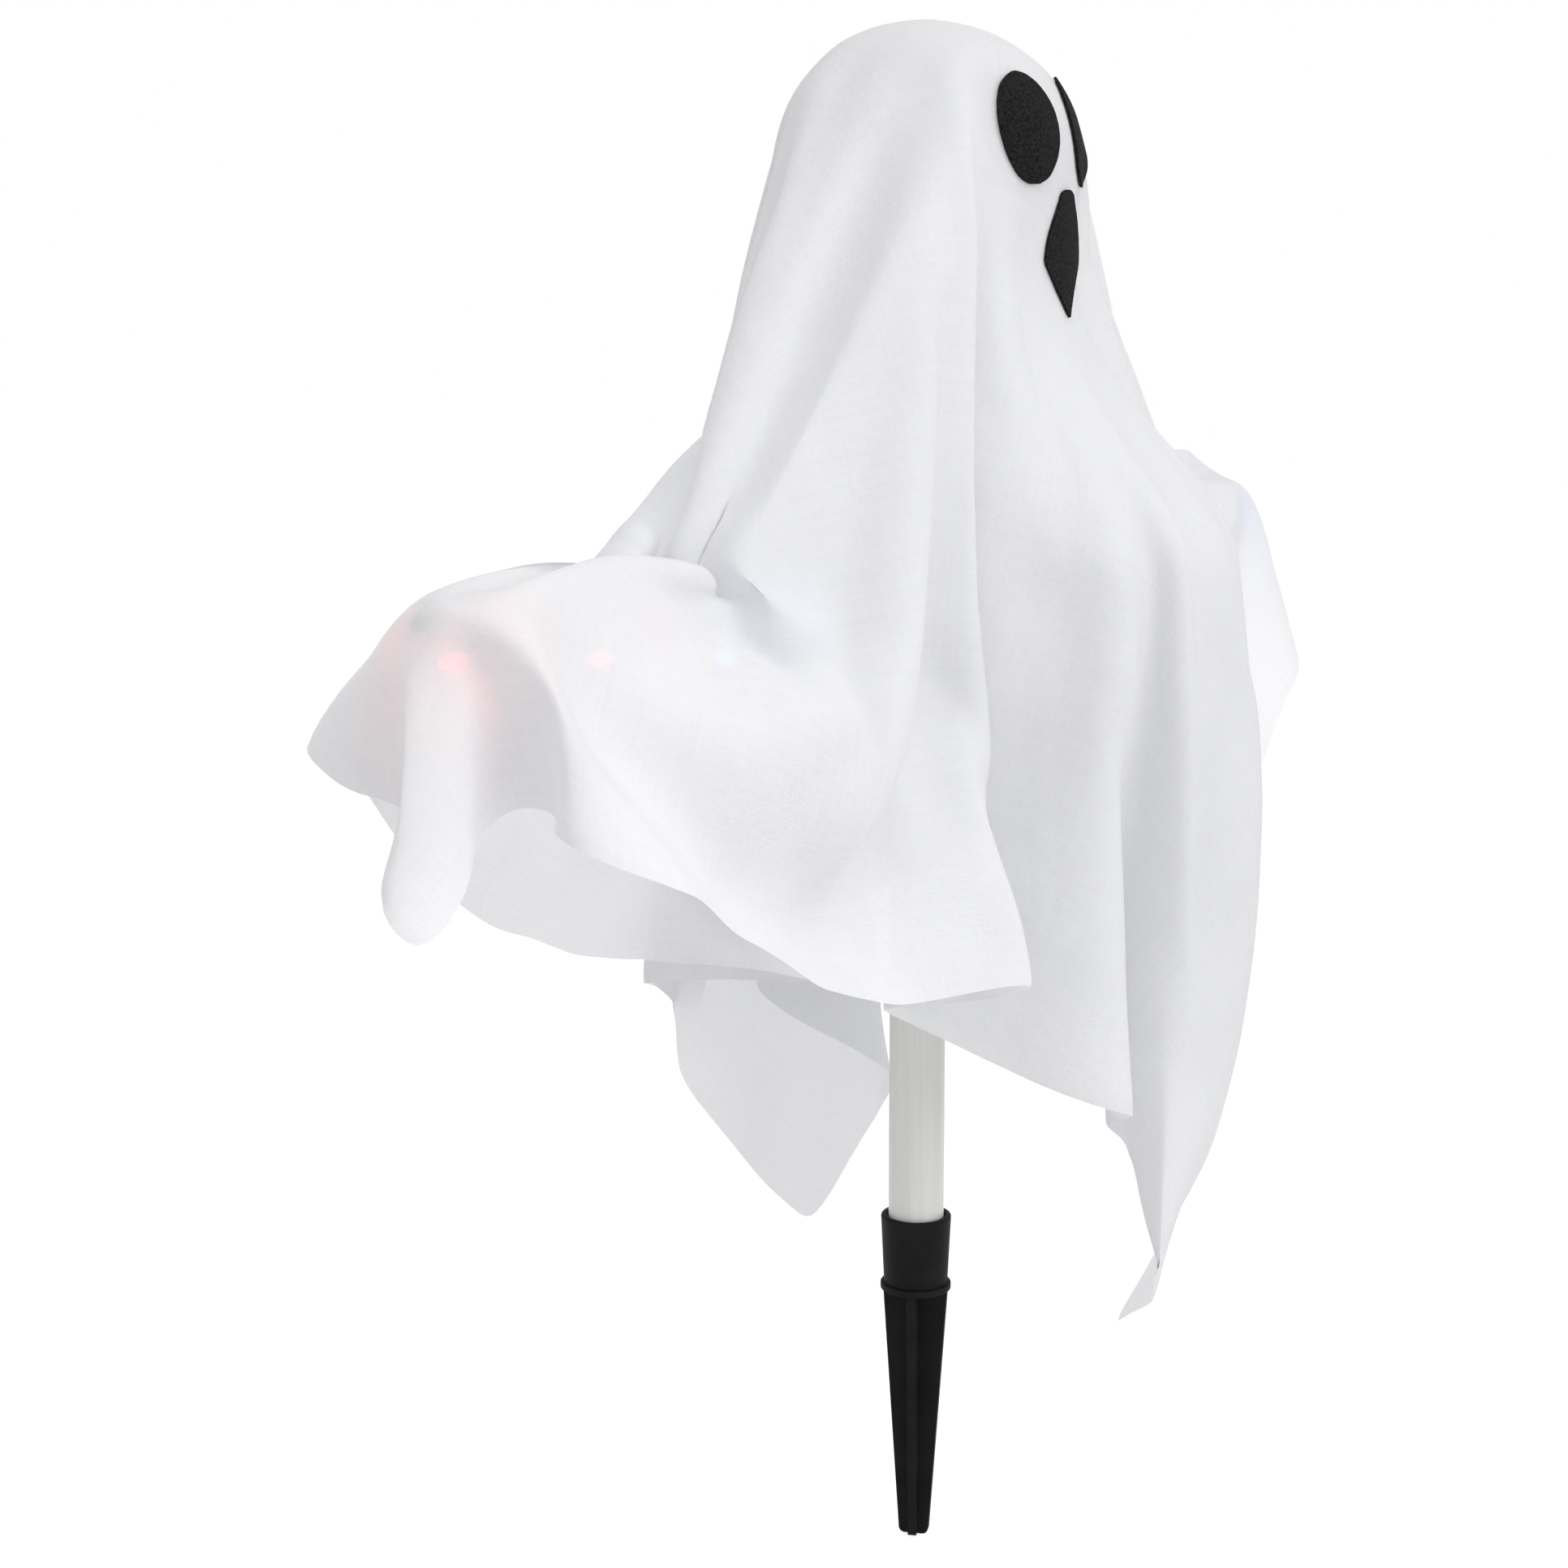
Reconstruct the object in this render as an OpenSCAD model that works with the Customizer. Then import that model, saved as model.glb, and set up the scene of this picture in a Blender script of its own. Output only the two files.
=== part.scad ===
// Lighted ghost on a lawn stake: a square sheet draped over a ball head and two posable arms,
// carried by a two-piece pole that stands in a push-in ground stake.
// Millimetres, +Z up. The origin is on the stake's axis at the ground line, under its collar.
// The ghost faces -Y, with its left arm along +X and its right arm along -X.

/* [Ground stake] */
// Length of the spike below the ground line
spike_len = 106; // [80:1:140]
// Width of the spike under its lip
spike_top_w = 26; // [20:0.5:28]
// Width of the spike at its tip
spike_tip_w = 12; // [6:0.5:16]
// Radius of the spike's two lowest corners
spike_tip_round = 2.5; // [0.5:0.5:2.8]
// Thickness of the spike's four fins
fin_t = 3.2; // [2:0.1:5]
// Turn of the fins about the stake's axis
fin_turn = 17; // [0:1:89]
// Thickness of the lip at the ground line
lip_t = 2.6; // [1.5:0.1:4]
// Reach of the lip past the collar's foot
lip_reach = 1.4; // [0.5:0.1:3]
// Height of the collar above the ground line
collar_h = 28; // [20:1:40]
// Wall of the collar at its rim
collar_rim_wall = 2.9; // [2:0.1:5]
// Wall of the collar at its foot
collar_foot_wall = 1.6; // [1.2:0.1:4]
// Radius of the collar's rim
rim_round = 1; // [0.3:0.1:1.4]
// Floor of the socket above the ground line
socket_floor = 4; // [2:0.5:10]

/* [Pole] */
// Outside diameter of both tubes
pole_od = 22; // [18:0.5:26]
// Wall of both tubes
pole_wall = 1.3; // [1:0.1:2]
// Height of the joint between the two tubes
joint_z = 150; // [100:1:155]
// Length of the coupler's plug in the lower tube
plug_len = 22; // [12:1:40]
// Length of the coupler's spigot in the upper tube
spigot_len = 26; // [12:1:40]
// Thickness of the coupler's flange between the tubes
coupler_flange_t = 2; // [1:0.5:4]
// Wall of the hollow coupler
coupler_wall = 2.5; // [1.5:0.1:4]

/* [Head] */
// Diameter of the ball
head_d = 101.6; // [90:0.2:110]
// Height of the ball's centre
head_z = 441; // [430:1:460]
// Diameter of the flat under the ball
neck_flat_d = 34; // [31:1:44]
// Distance of the bore's end below the ball's centre
head_bore_end = 6; // [0:1:20]
// Wall of the sleeve in the ball
neck_wall = 2; // [1.2:0.1:3]
// End wall of the sleeve over the pole
neck_top = 2; // [1:0.5:4]
// Thickness of the sleeve's flange under the ball
neck_flange_t = 2; // [1:0.5:4]

/* [Shoulders] */
// Height of the arms' pivots
hub_z = 266; // [262:1:275]
// Height of the hub's ring
hub_h = 24; // [18:1:30]
// Wall of the hub's ring
hub_wall = 5; // [3:0.5:8]
// Distance of a pivot from the ring
pivot_reach = 11; // [9:0.5:16]
// Height of the ears
ear_w = 12; // [9:0.5:16]
// Thickness of an ear
ear_t = 3; // [2:0.5:5]
// Thickness of the knuckle's tongue between the ears
tongue_t = 6; // [4:0.5:10]
// Diameter of the pivot screws and the hub's screw
screw_d = 4; // [3:0.5:5]
// Diameter of the screw heads
screw_head_d = 7.5; // [6:0.5:10]
// Height of the screw heads
screw_head_h = 2.6; // [1.5:0.1:4]
// Width of a pivot nut across its corners
nut_d = 8; // [7:0.5:10]
// Height of a pivot nut
nut_h = 3.2; // [2:0.1:5]

/* [Arms] */
// Rise of the arms above level at rest
arm_rise = 6; // [0:1:12]
// Length of an arm from its pivot to its tip
arm_len = 296; // [260:1:320]
// Outside diameter of the soft tube
arm_od = 9; // [7:0.5:10]
// Diameter of the wire core
core_d = 3; // [2:0.25:4]
// Outside diameter of the knuckle's socket
knuckle_d = 13; // [12:0.5:16]
// Distance of the socket from the pivot
knuckle_start = 12; // [10:0.5:18]
// Length of the socket
knuckle_len = 24; // [22:1:32]
// Length of the tube that the socket holds
tube_seat = 20; // [12:1:21]
// Length of the core past the tube, into the knuckle
core_seat = 5; // [3:0.5:7]
// Wall of the cap over the tube's end
hand_wall = 1; // [0.8:0.1:2]
// Length of the tube that the cap holds
hand_grip = 8; // [5:0.5:14]

/* [Lights] */
// Diameter of the light wire
wire_d = 2; // [1.4:0.1:2.6]
// Diameter of a bulb holder
holder_d = 6.4; // [5.8:0.1:8]
// Length of a bulb holder
holder_len = 12; // [8:0.5:16]
// Diameter of a bulb's lens
lens_d = 5; // [3:0.5:5.5]
// Length of a bulb's lens
lens_len = 8.6; // [6:0.2:10]
// Thickness of the lens's flange
lens_flange_t = 1; // [0.5:0.1:2]
// Distance of the last bulb from the arm's tip
led_tip = 24; // [22:1:60]
// Spacing of the bulbs on an arm
led_pitch = 80; // [60:1:82]
// Start of the wire on an arm, from its pivot
arm_wire_start = 46; // [44:1:60]
// Width of the ties
tie_w = 3; // [2:0.5:5]
// Thickness of the ties
tie_t = 0.8; // [0.5:0.1:1.5]
// Width of the junction block
junction_w = 12; // [8:0.5:16]
// Depth of the junction block
junction_d = 6; // [4:0.5:8]
// Height of the junction block
junction_h = 7; // [5:0.5:8]

/* [Battery case] */
// Height of the case above the pole's joint
case_over_joint = 8; // [4:1:12]
// Gap between the pole and the case
case_stand = 2; // [1:0.5:5]
// Wall of the case
case_wall = 1.8; // [1.4:0.1:2.5]
// Wall of the clips that grip the pole
clip_wall = 2.2; // [1.5:0.1:3]
// Height of a clip
clip_h = 8; // [6:1:12]
// Distance of the clips from the case's ends
clip_inset = 8; // [6:1:12]
// Opening of the clips
clip_open = 120; // [90:5:150]
// Height of the bay for the board and the switch
aux_h = 11; // [9:0.5:14]
// Wall between the two bays
divider_t = 1.5; // [1:0.1:2.5]
// Diameter of a cell
cell_d = 14.2; // [13.5:0.1:14.5]
// Length of a cell's body
cell_len = 49.2; // [47:0.1:50]
// Diameter of a cell's nub
nub_d = 5.5; // [4.2:0.1:6]
// Height of a cell's nub
nub_h = 1; // [0.8:0.1:2]
// Spacing of the cells
cell_pitch = 15; // [14.8:0.1:17]
// Room between the outer cells and the case's sides
cell_side_room = 0.7; // [0.3:0.1:2]
// Room behind the cells
cell_back_room = 1.2; // [0.4:0.1:2]
// Thickness of the contacts
contact_t = 0.5; // [0.3:0.1:0.8]
// Width of the contacts
contact_w = 9; // [6:0.5:12]
// Height of a contact's bow
leaf_h = 3; // [1.5:0.1:5]
// Thickness of the lid
lid_t = 2.4; // [2:0.1:4]
// Thickness of the lid's tongues
lid_tongue_t = 1.1; // [0.8:0.1:1.6]
// Reach of the lid's tongues into the case's grooves
lid_tongue = 0.9; // [0.5:0.1:1.1]
// Height of the lid's finger ribs
lid_rib_h = 0.8; // [0.4:0.1:1.5]
// Length of the circuit board
board_w = 32; // [24:0.5:36]
// Height of the circuit board
board_h = 9; // [6:0.5:10]
// Thickness of the circuit board
board_t = 1.2; // [0.8:0.1:1.6]
// Length of the bosses under the board
boss_len = 1.5; // [1:0.1:3]
// Diameter of the bosses under the board
boss_d = 4; // [3:0.5:6]
// Length of the switch's body
switch_w = 12; // [10:0.5:16]
// Depth of the switch's body
switch_d = 5.5; // [5:0.1:7]
// Height of the switch's body
switch_h = 5; // [4:0.1:7]
// Travel of the switch
switch_travel = 3; // [2:0.1:4]
// Width of the switch's stem and knob
slider_w = 3; // [2:0.1:3.5]
// Depth of the switch's stem and knob
slider_d = 2.4; // [1.5:0.1:3]
// Height of the knob below the case
knob_h = 2.2; // [1:0.1:4]
// Diameter of the grommet's neck in the case
grommet_d = 5; // [4:0.5:7]
// Diameter of the grommet's flanges
grommet_flange_d = 8; // [7:0.5:9]
// Thickness of the grommet's flanges
grommet_flange_t = 1.5; // [1:0.1:2.5]

/* [Sheet] */
// Thickness of the sheet
sheet_t = 0.6; // [0.4:0.1:1]
// Gap between the sheet's corners of facets and the ball
sheet_head_gap = 1; // [0.9:0.1:2]
// Gap between the sheet and the hand's cap
sheet_hand_gap = 1.8; // [1.6:0.1:3]
// Distance of the sheet's ring under the head, below the ball's centre
neck_ring_down = 66; // [56:1:76]
// Half width of that ring toward the arms
neck_ring_x = 128; // [110:1:140]
// Half depth of that ring toward front and back
neck_ring_y = 80; // [72:1:86]
// Height of the ring where the sheet meets the arms, above their pivots
shoulder_ring_up = 25; // [24:1:34]
// Half width of that ring toward the arms
shoulder_ring_x = 184; // [165:1:200]
// Half depth of that ring toward front and back
shoulder_ring_y = 98; // [88:1:104]
// Rise of that ring toward front and back
shoulder_ring_rise = 10; // [0:1:20]
// Half depth of the tent under the arms
tent_y = 112; // [100:1:118]
// Drop of the tent's edge from the hand to front and back
edge_drop = 115; // [90:1:140]
// Half width of the tent beside the hand
tip_room = 15; // [14:0.5:20]
// Reach of the tent's edge past the hand
tip_ease = 4; // [3.5:0.1:6]
// Flare of the hem past the tent's edge
hem_flare = 24; // [6:1:32]
// Half depth of the hem
hem_y = 118; // [106:1:126]
// Length of the corner that hangs from a hand
tip_hang = 82; // [60:1:100]
// Drop of the hem from that corner to front and back
hem_slope = 140; // [120:1:160]
// Further drop of the front corner
front_drop = 169; // [130:1:180]
// Further drop of the back corner
back_drop = 161; // [130:1:180]
// Half width of the sheet's hanging front and back
panel_w = 64; // [52:1:74]
// Sink of the front's middle
front_sink = 15; // [0:1:20]
// Sink of the back's middle
back_sink = 4; // [0:1:20]
// Distance of the tucks beside the arms from the middle
tuck_x = 62; // [56:1:74]
// Distance of the tucks from the arms
tuck_y = 50; // [44:1:58]

/* [Face] */
// Thickness of the felt
felt_t = 1.2; // [0.6:0.1:2]
// Turn of an eye from straight ahead
eye_turn = 21; // [18:0.5:24]
// Height of the eyes' centres above the ball's centre
eye_up = 10; // [6:0.5:14]
// Width of an eye
eye_w = 29; // [22:0.5:32]
// Height of an eye
eye_h = 40; // [30:0.5:42]
// Distance of the mouth's centre below the ball's centre
mouth_down = 35; // [34:0.5:40]
// Width of the mouth
mouth_w = 29; // [22:0.5:34]
// Height of the mouth
mouth_h = 47; // [36:0.5:49]

/* [Clearances] */
// Radial gap of a part that slides or turns
run_gap = 0.08; // [0.02:0.01:0.1]
// Radial gap of a pressed or glued part
fit_gap = 0.05; // [0.02:0.01:0.1]
// Gap beside a part that turns between ears
side_gap = 0.3; // [0.1:0.05:0.6]
// Gap around the lid, the switch's slider and the bulb holders
slide_gap = 0.1; // [0.05:0.05:0.2]
// Gap between a light wire and what it lies on
wire_gap = 0.3; // [0.2:0.05:0.5]

/* [Hidden] */
$fn = 48;
// How far the shapes of one piece run into each other
overlap = 0.5;

RIGHT = -1;
LEFT = 1;
BLACK = [0.05, 0.05, 0.055];
WHITE = [0.93, 0.93, 0.91];
STEEL = [0.7, 0.71, 0.73];
WIRE = [0.85, 0.86, 0.86];
RED = [0.95, 0.15, 0.15];
PINK = [0.95, 0.45, 0.6];
BLUE = [0.2, 0.35, 0.95];
TEAL = [0.2, 0.8, 0.75];
GREEN = [0.3, 0.8, 0.3];
AMBER = [0.98, 0.65, 0.15];

// Stake and pole
pole_r = pole_od / 2;
pole_bore_r = pole_r - pole_wall;
socket_r = pole_r + run_gap;
rim_r = socket_r + collar_rim_wall;
foot_r = socket_r + collar_foot_wall;
lip_r = foot_r + lip_reach;
lip_round = 0.4;
upper_z = joint_z + coupler_flange_t;

// Head
head_r = head_d / 2;
flat_z = head_z - sqrt(pow(head_r, 2) - pow(neck_flat_d / 2, 2));
sleeve_r = pole_r + fit_gap + neck_wall;
bore_end_z = head_z - head_bore_end;
pole_top_z = bore_end_z - neck_top;

// Shoulders and arms
hub_bore_r = pole_r + fit_gap;
hub_r = hub_bore_r + hub_wall;
pivot_x = hub_r + pivot_reach;
ear_y = tongue_t / 2 + side_gap;
ear_out_y = ear_y + ear_t;
tube_start = knuckle_start + knuckle_len - tube_seat;
core_start = tube_start - core_seat;
hand_r = arm_od / 2 + fit_gap + hand_wall;
tube_end = arm_len - hand_r;

// Lights
wire_r = wire_d / 2;
holder_r = holder_d / 2;
arm_wire_z = -(arm_od / 2 + wire_gap + wire_r);
arm_holder_z = arm_wire_z - wire_r - slide_gap - holder_r;
arm_wire_end = led_x(2) + holder_len / 2;
pole_wire_y = -(pole_r + wire_gap + wire_r);
pole_holder_y = pole_wire_y - wire_r - slide_gap - holder_r;
junction_gap = 1;
junction_z = hub_z - hub_h / 2 - junction_h - junction_gap;
junction_y = -(pole_r + slide_gap);

// Battery case
bay_len = 2 * contact_t + leaf_h + cell_len + nub_h;
case_h = 2 * case_wall + aux_h + divider_t + bay_len;
case_w = 2 * case_wall + 3 * cell_pitch + 2 * cell_side_room;
case_d = case_wall + fit_gap + cell_d + cell_back_room + lid_t;
case_z = upper_z + case_over_joint;
case_y = pole_r + case_stand;
case_back_y = case_y + case_d;
case_in_y = case_y + case_wall;
case_in_x = case_w / 2 - case_wall;
lid_y = case_back_y - lid_t;
aux_z = case_z + case_wall;
aux_mid_z = aux_z + aux_h / 2;
bay_z = aux_z + aux_h + divider_t;
bay_end_z = bay_z + bay_len;
cell_y = case_in_y + fit_gap + cell_d / 2;
board_y = case_in_y + boss_len;
board_side_gap = 4;
board_front_gap = 1;
switch_side_gap = 2;
board_x = -(case_in_x - board_w / 2 - board_side_gap);
switch_x = case_in_x - switch_w / 2 - switch_side_gap;
switch_y = board_y + board_t + board_front_gap + switch_d / 2;
slot_w = slider_w + switch_travel + 2 * slide_gap;
slider_base_h = 1.6;
slider_lip = 1;
grommet_gap = 4;
grommet_y = board_y + board_t + grommet_gap + grommet_flange_d / 2;
clip_web_w = 1.4 * pole_r;
rib_count = 3;
rib_pitch = 4;
rib_w = 1.6;

// Lights on the pole, placed from the case
wire_below_case = 4;
low_led_over_clip = 19;
high_led_over_case = 2;
pole_wire_start = case_z - wire_below_case;
pole_led_low = case_z + clip_inset + clip_h + low_led_over_clip;
pole_led_high = case_z + case_h + high_led_over_case;

// Routes of the wires, chosen by hand. The feed starts in the grommet and ends under the pole's wire.
// A shoulder lead starts in the junction block and ends at the arm's wire.
FEED_ROUTE = [[4, 0, 0], [1, 0, 0], [-3, 0, 0], [-6, 0, 0], [-10, -6, -3], [-10, -22, -8],
    [0, -35, -15], [12, -40, -20], [21, -40, -22]];
LEAD_ROUTE = [[3, 0, 0], [11, -3, -3], [22, -1, -7], [34, 4, -8], [46, 9, -5], [55, 12, 3], [60, 14, 10]];
straight_end = 3;
route_steps = 3;
tube_sides = 8;

// The sheet's grid: meridians from the crown to the hem, and rings around it
MERIDIANS = 48;
RINGS = 12;
DOME_RINGS = 5;
dome_span = 70;
dome_step = dome_span / DOME_RINGS;
sheet_r = head_r + sheet_head_gap + sheet_t;
hand_top_z = hub_z + tube_end * sin(arm_rise) + hand_r;
tip_top_z = hand_top_z + sheet_hand_gap + sheet_t;
tip_reach = pivot_x + arm_len * cos(arm_rise) + tip_ease;
hem_tip_z = tip_top_z - tip_hang;
neck_ring_z = head_z - neck_ring_down;
shoulder_ring_z = hub_z + shoulder_ring_up;
hem_reach = tip_reach + hem_flare;
quarter = MERIDIANS / 4;
// The room beside a hand, the tuck and the panel's corner, as shares of a quarter
room_share = 1 / quarter;
tuck_share = 5 / quarter;
panel_share = 8 / quarter;
// The tuck grows and opens from the shoulder to the hem
shoulder_tuck = [2, 9];
hem_tuck = [14, 15];
shoulder_panel = 0.56;
shoulder_sink = 0.4;
shoulder_room = 26;
// The ring under the head has a ridge toward each arm, along a curve of this power
ridge_power = 12;
// The corners hang this far round from the middle of the front and back, and reach this far
corner_turn = -0.3;
corner_reach = 0.7;
corner_power = 1.3;
FELT_SPREAD = 60;
FELT_RINGS = [2, 6];
FELT_CORNERS = 32;
// The mouth's round part, as a share of its height
mouth_round = 0.57;

// Shared shapes
function arc(centre, r, from, to) =
    let (steps = 6)
    [for (i = [0:steps])
        let (a = from + (to - from) * i / steps)
        centre + r * [cos(a), sin(a)]];

module tube(r_out, r_in, h) {
    difference() {
        cylinder(r = r_out, h = h);
        translate([0, 0, -1]) cylinder(r = r_in, h = h + 2);
    }
}

module along_x(x) {
    translate([x, 0, 0]) rotate([0, 90, 0]) children();
}

module along_y(y) {
    translate([0, y, 0]) rotate([-90, 0, 0]) children();
}

module arm_frame() {
    translate([pivot_x, 0, hub_z]) rotate([0, -arm_rise, 0]) children();
}

module on_arm(side) {
    if (side == RIGHT) mirror([1, 0, 0]) arm_frame() children();
    else arm_frame() children();
}

module both_sides() {
    children();
    mirror([1, 0, 0]) children();
}

// A bulb's lens with its flange, standing on z = 0
module lens() {
    straight = lens_len - lens_d / 2;
    cylinder(r = holder_r, h = lens_flange_t);
    cylinder(d = lens_d, h = straight);
    translate([0, 0, straight]) sphere(d = lens_d);
}

// A band around a round piece of radius r and a bulb holder at the given distance from it
module tie_band(r, distance) {
    linear_extrude(height = tie_w, center = true) difference() {
        hull() {
            circle(r = r + slide_gap + tie_t);
            translate([0, -distance]) circle(r = holder_r + slide_gap + tie_t);
        }
        hull() {
            circle(r = r + slide_gap);
            translate([0, -distance]) circle(r = holder_r + slide_gap);
        }
    }
}

// A round tube swept along a smooth route through the given points
function unit(v) = v / norm(v);
function mix(a, b, t) = a * (1 - t) + b * t;
function last(points) = points[len(points) - 1];
function route_point(p, i, t) =
    let (a = p[max(i - 1, 0)], b = p[i], c = p[i + 1], d = p[min(i + 2, len(p) - 1)])
    0.5 * (2 * b + (c - a) * t + (2 * a - 5 * b + 4 * c - d) * t * t
        + (3 * b - a - 3 * c + d) * t * t * t);
function route(p) = concat(
    [for (i = [0:len(p) - 2], k = [0:route_steps - 1]) route_point(p, i, k / route_steps)], [last(p)]);
function tangents(r, p) = concat([unit(p[1] - p[0])],
    [for (i = [1:len(r) - 2]) unit(r[i + 1] - r[i - 1])], [unit(last(p) - p[len(p) - 2])]);
function sides_to(t, start) =
    [for (i = 0, u = unit(start - (start * t[0]) * t[0]); i < len(t); i = i + 1,
        u = i < len(t) ? unit(u - (u * t[i]) * t[i]) : u) u];

module swept_tube(points, start) {
    r = route(points);
    t = tangents(r, points);
    u = sides_to(t, start);
    n = tube_sides;
    rings = len(r);
    verts = [for (i = [0:rings - 1], k = [0:n - 1])
        r[i] + wire_r * (cos(360 * k / n) * u[i] + sin(360 * k / n) * cross(t[i], u[i]))];
    walls = [for (i = [0:rings - 2], k = [0:n - 1])
        let (a = i * n + k, b = i * n + (k + 1) % n)
        each [[a, a + n, b], [b, a + n, b + n]]];
    ends = [[for (k = [0:n - 1]) k], [for (k = [n - 1:-1:0]) (rings - 1) * n + k]];
    polyhedron(points = verts, faces = concat(walls, ends), convexity = 4);
}

// The draped sheet. Its directions go round the pole from the left arm, and share is 0 at an arm
// and 1 at the front and the back.
function sign_of(v) = v > 0.000001 ? 1 : v < -0.000001 ? -1 : 0;
function share(a) = 1 - abs(1 - (a % 180) / 90);
function neck_point(a) =
    let (r = neck_ring_y + (neck_ring_x - neck_ring_y) * pow(abs(cos(a)), ridge_power))
    [r * cos(a), r * sin(a), neck_ring_z];
// A ring in plan: from the hand to the room beside it, in to the tuck, out to the panel and along it
function on_plan(a, reach, room, tuck, panel, sink, z) =
    let (q = share(a))
    let (middle = panel.y - sink * (sin(a) < 0 ? front_sink : back_sink))
    let (x = [[0, reach], [room_share, reach * (1 - room_share)], [tuck_share, tuck.x],
        [panel_share, panel.x], [1, 0]])
    let (y = [[0, 0], [room_share, room], [tuck_share, tuck.y], [panel_share, panel.y], [1, middle]])
    [sign_of(cos(a)) * lookup(q, x), sign_of(sin(a)) * lookup(q, y), z];
function edge_z(a) = tip_top_z - edge_drop * share(a);
// From -1 at an arm over the middle of the front or back to 1 at the other
function around(a) = (a % 180) / 90 - 1;
function hem_z(a) =
    let (drop = sin(a) < 0 ? front_drop : back_drop)
    hem_tip_z - hem_slope * share(a)
        - drop * pow(max(0, 1 - abs(around(a) - corner_turn) / corner_reach), corner_power);
function shoulder_point(a) =
    on_plan(a, shoulder_ring_x, shoulder_room, [tuck_x, tuck_y] + shoulder_tuck,
        [panel_w * shoulder_panel, shoulder_ring_y], shoulder_sink,
        shoulder_ring_z + shoulder_ring_rise * share(a));
function edge_point(a) =
    on_plan(a, tip_reach, tip_room + tip_ease, [tuck_x, tuck_y], [panel_w, tent_y], 1, edge_z(a));
function hem_point(a) =
    on_plan(a, hem_reach, tip_room + tip_ease, [tuck_x, tuck_y] + hem_tuck, [panel_w, hem_y], 1,
        hem_z(a));
function dome_point(j, a) =
    [sheet_r * sin(j * dome_step) * cos(a), sheet_r * sin(j * dome_step) * sin(a),
        head_z + sheet_r * cos(j * dome_step)];
function sheet_point(j, a) =
    j <= DOME_RINGS ? dome_point(j, a)
    : j == DOME_RINGS + 1 ? neck_point(a)
    : j == DOME_RINGS + 2 ? shoulder_point(a)
    : j == DOME_RINGS + 3 ? mix(shoulder_point(a), edge_point(a), 0.5)
    : mix(edge_point(a), hem_point(a), (j - DOME_RINGS - 4) / (RINGS - DOME_RINGS - 4));
function direction(k) = 360 * ((k + MERIDIANS) % MERIDIANS) / MERIDIANS;
function sheet_normal(j, k) =
    unit(cross(sheet_point(min(j + 1, RINGS), direction(k)) - sheet_point(j - 1, direction(k)),
        sheet_point(j, direction(k + 1)) - sheet_point(j, direction(k - 1))));
function off_sheet(j, k, out) = sheet_point(j, direction(k)) + out * sheet_normal(j, k);

// A grid of points with two faces, closed by a wall round its edge
function grid_faces(rows, columns, start, flip) =
    [for (j = [0:rows - 2], k = [0:columns - 2])
        let (a = start + j * columns + k, b = a + 1, c = a + columns, d = c + 1)
        each flip ? [[a, b, c], [b, d, c]] : [[a, c, b], [b, c, d]]];

// The felt lies on this patch of the sheet, from ear to ear and from the forehead to the chin
module face_patch() {
    first = round((270 - FELT_SPREAD) * MERIDIANS / 360);
    columns = round(2 * FELT_SPREAD * MERIDIANS / 360) + 1;
    rows = FELT_RINGS[1] - FELT_RINGS[0] + 1;
    lift = [slide_gap + felt_t, slide_gap];
    verts = [for (side = lift, j = [FELT_RINGS[0]:FELT_RINGS[1]], k = [first:first + columns - 1])
        off_sheet(j, k, side)];
    count = rows * columns;
    rim = concat([for (k = [0:columns - 1]) k], [for (j = [1:rows - 1]) j * columns + columns - 1],
        [for (k = [columns - 2:-1:0]) (rows - 1) * columns + k], [for (j = [rows - 2:-1:1]) j * columns]);
    wall = [for (i = [0:len(rim) - 1])
        let (a = rim[i], b = rim[(i + 1) % len(rim)])
        each [[a, b, a + count], [b, b + count, a + count]]];
    polyhedron(points = verts, convexity = 4,
        faces = concat(grid_faces(rows, columns, 0, false), grid_faces(rows, columns, count, true), wall));
}

module felt(turn, z, outline) {
    intersection() {
        face_patch();
        rotate([0, 0, turn]) translate([0, 0, z]) rotate([90, 0, 0]) linear_extrude(height = 2 * head_r)
            polygon(outline);
    }
}

// An eye is an oval. The mouth is round above its widest place and runs to a point below it.
function oval(w, h) =
    [for (i = [0:FELT_CORNERS - 1])
        [w / 2 * cos(360 * i / FELT_CORNERS), h / 2 * sin(360 * i / FELT_CORNERS)]];
function drop(w, h) =
    let (half = FELT_CORNERS / 2)
    concat([for (i = [0:half])
        [w / 2 * cos(180 * i / half), h * (0.5 - mouth_round * (1 - sin(180 * i / half)))]], [[0, -h / 2]]);

// Ground stake and pole
module ground_stake() {
    profile = concat(
        [[0, -lip_t]],
        arc([lip_r - lip_round, lip_round - lip_t], lip_round, -90, 0),
        arc([lip_r - lip_round, -lip_round], lip_round, 0, 90),
        [[foot_r, 0]],
        arc([rim_r - rim_round, collar_h - rim_round], rim_round, 0, 90),
        [[socket_r + rim_round, collar_h], [socket_r, collar_h - rim_round],
            [socket_r, socket_floor], [0, socket_floor]]);
    color(BLACK) {
        rotate_extrude() polygon(profile);
        for (turn = [fin_turn, fin_turn + 90]) rotate([90, 0, turn])
            linear_extrude(height = fin_t, center = true) fin();
    }
}

module fin() {
    low = spike_tip_round - spike_len;
    side = spike_tip_w / 2 - spike_tip_round;
    polygon([[-spike_top_w / 2, -lip_t / 2], [spike_top_w / 2, -lip_t / 2],
        [spike_tip_w / 2, low], [side, -spike_len], [-side, -spike_len], [-spike_tip_w / 2, low]]);
    for (s = [-side, side]) translate([s, low]) circle(r = spike_tip_round);
}

module lower_pole() {
    color(WHITE) translate([0, 0, socket_floor]) tube(pole_r, pole_bore_r, joint_z - socket_floor);
}

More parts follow.
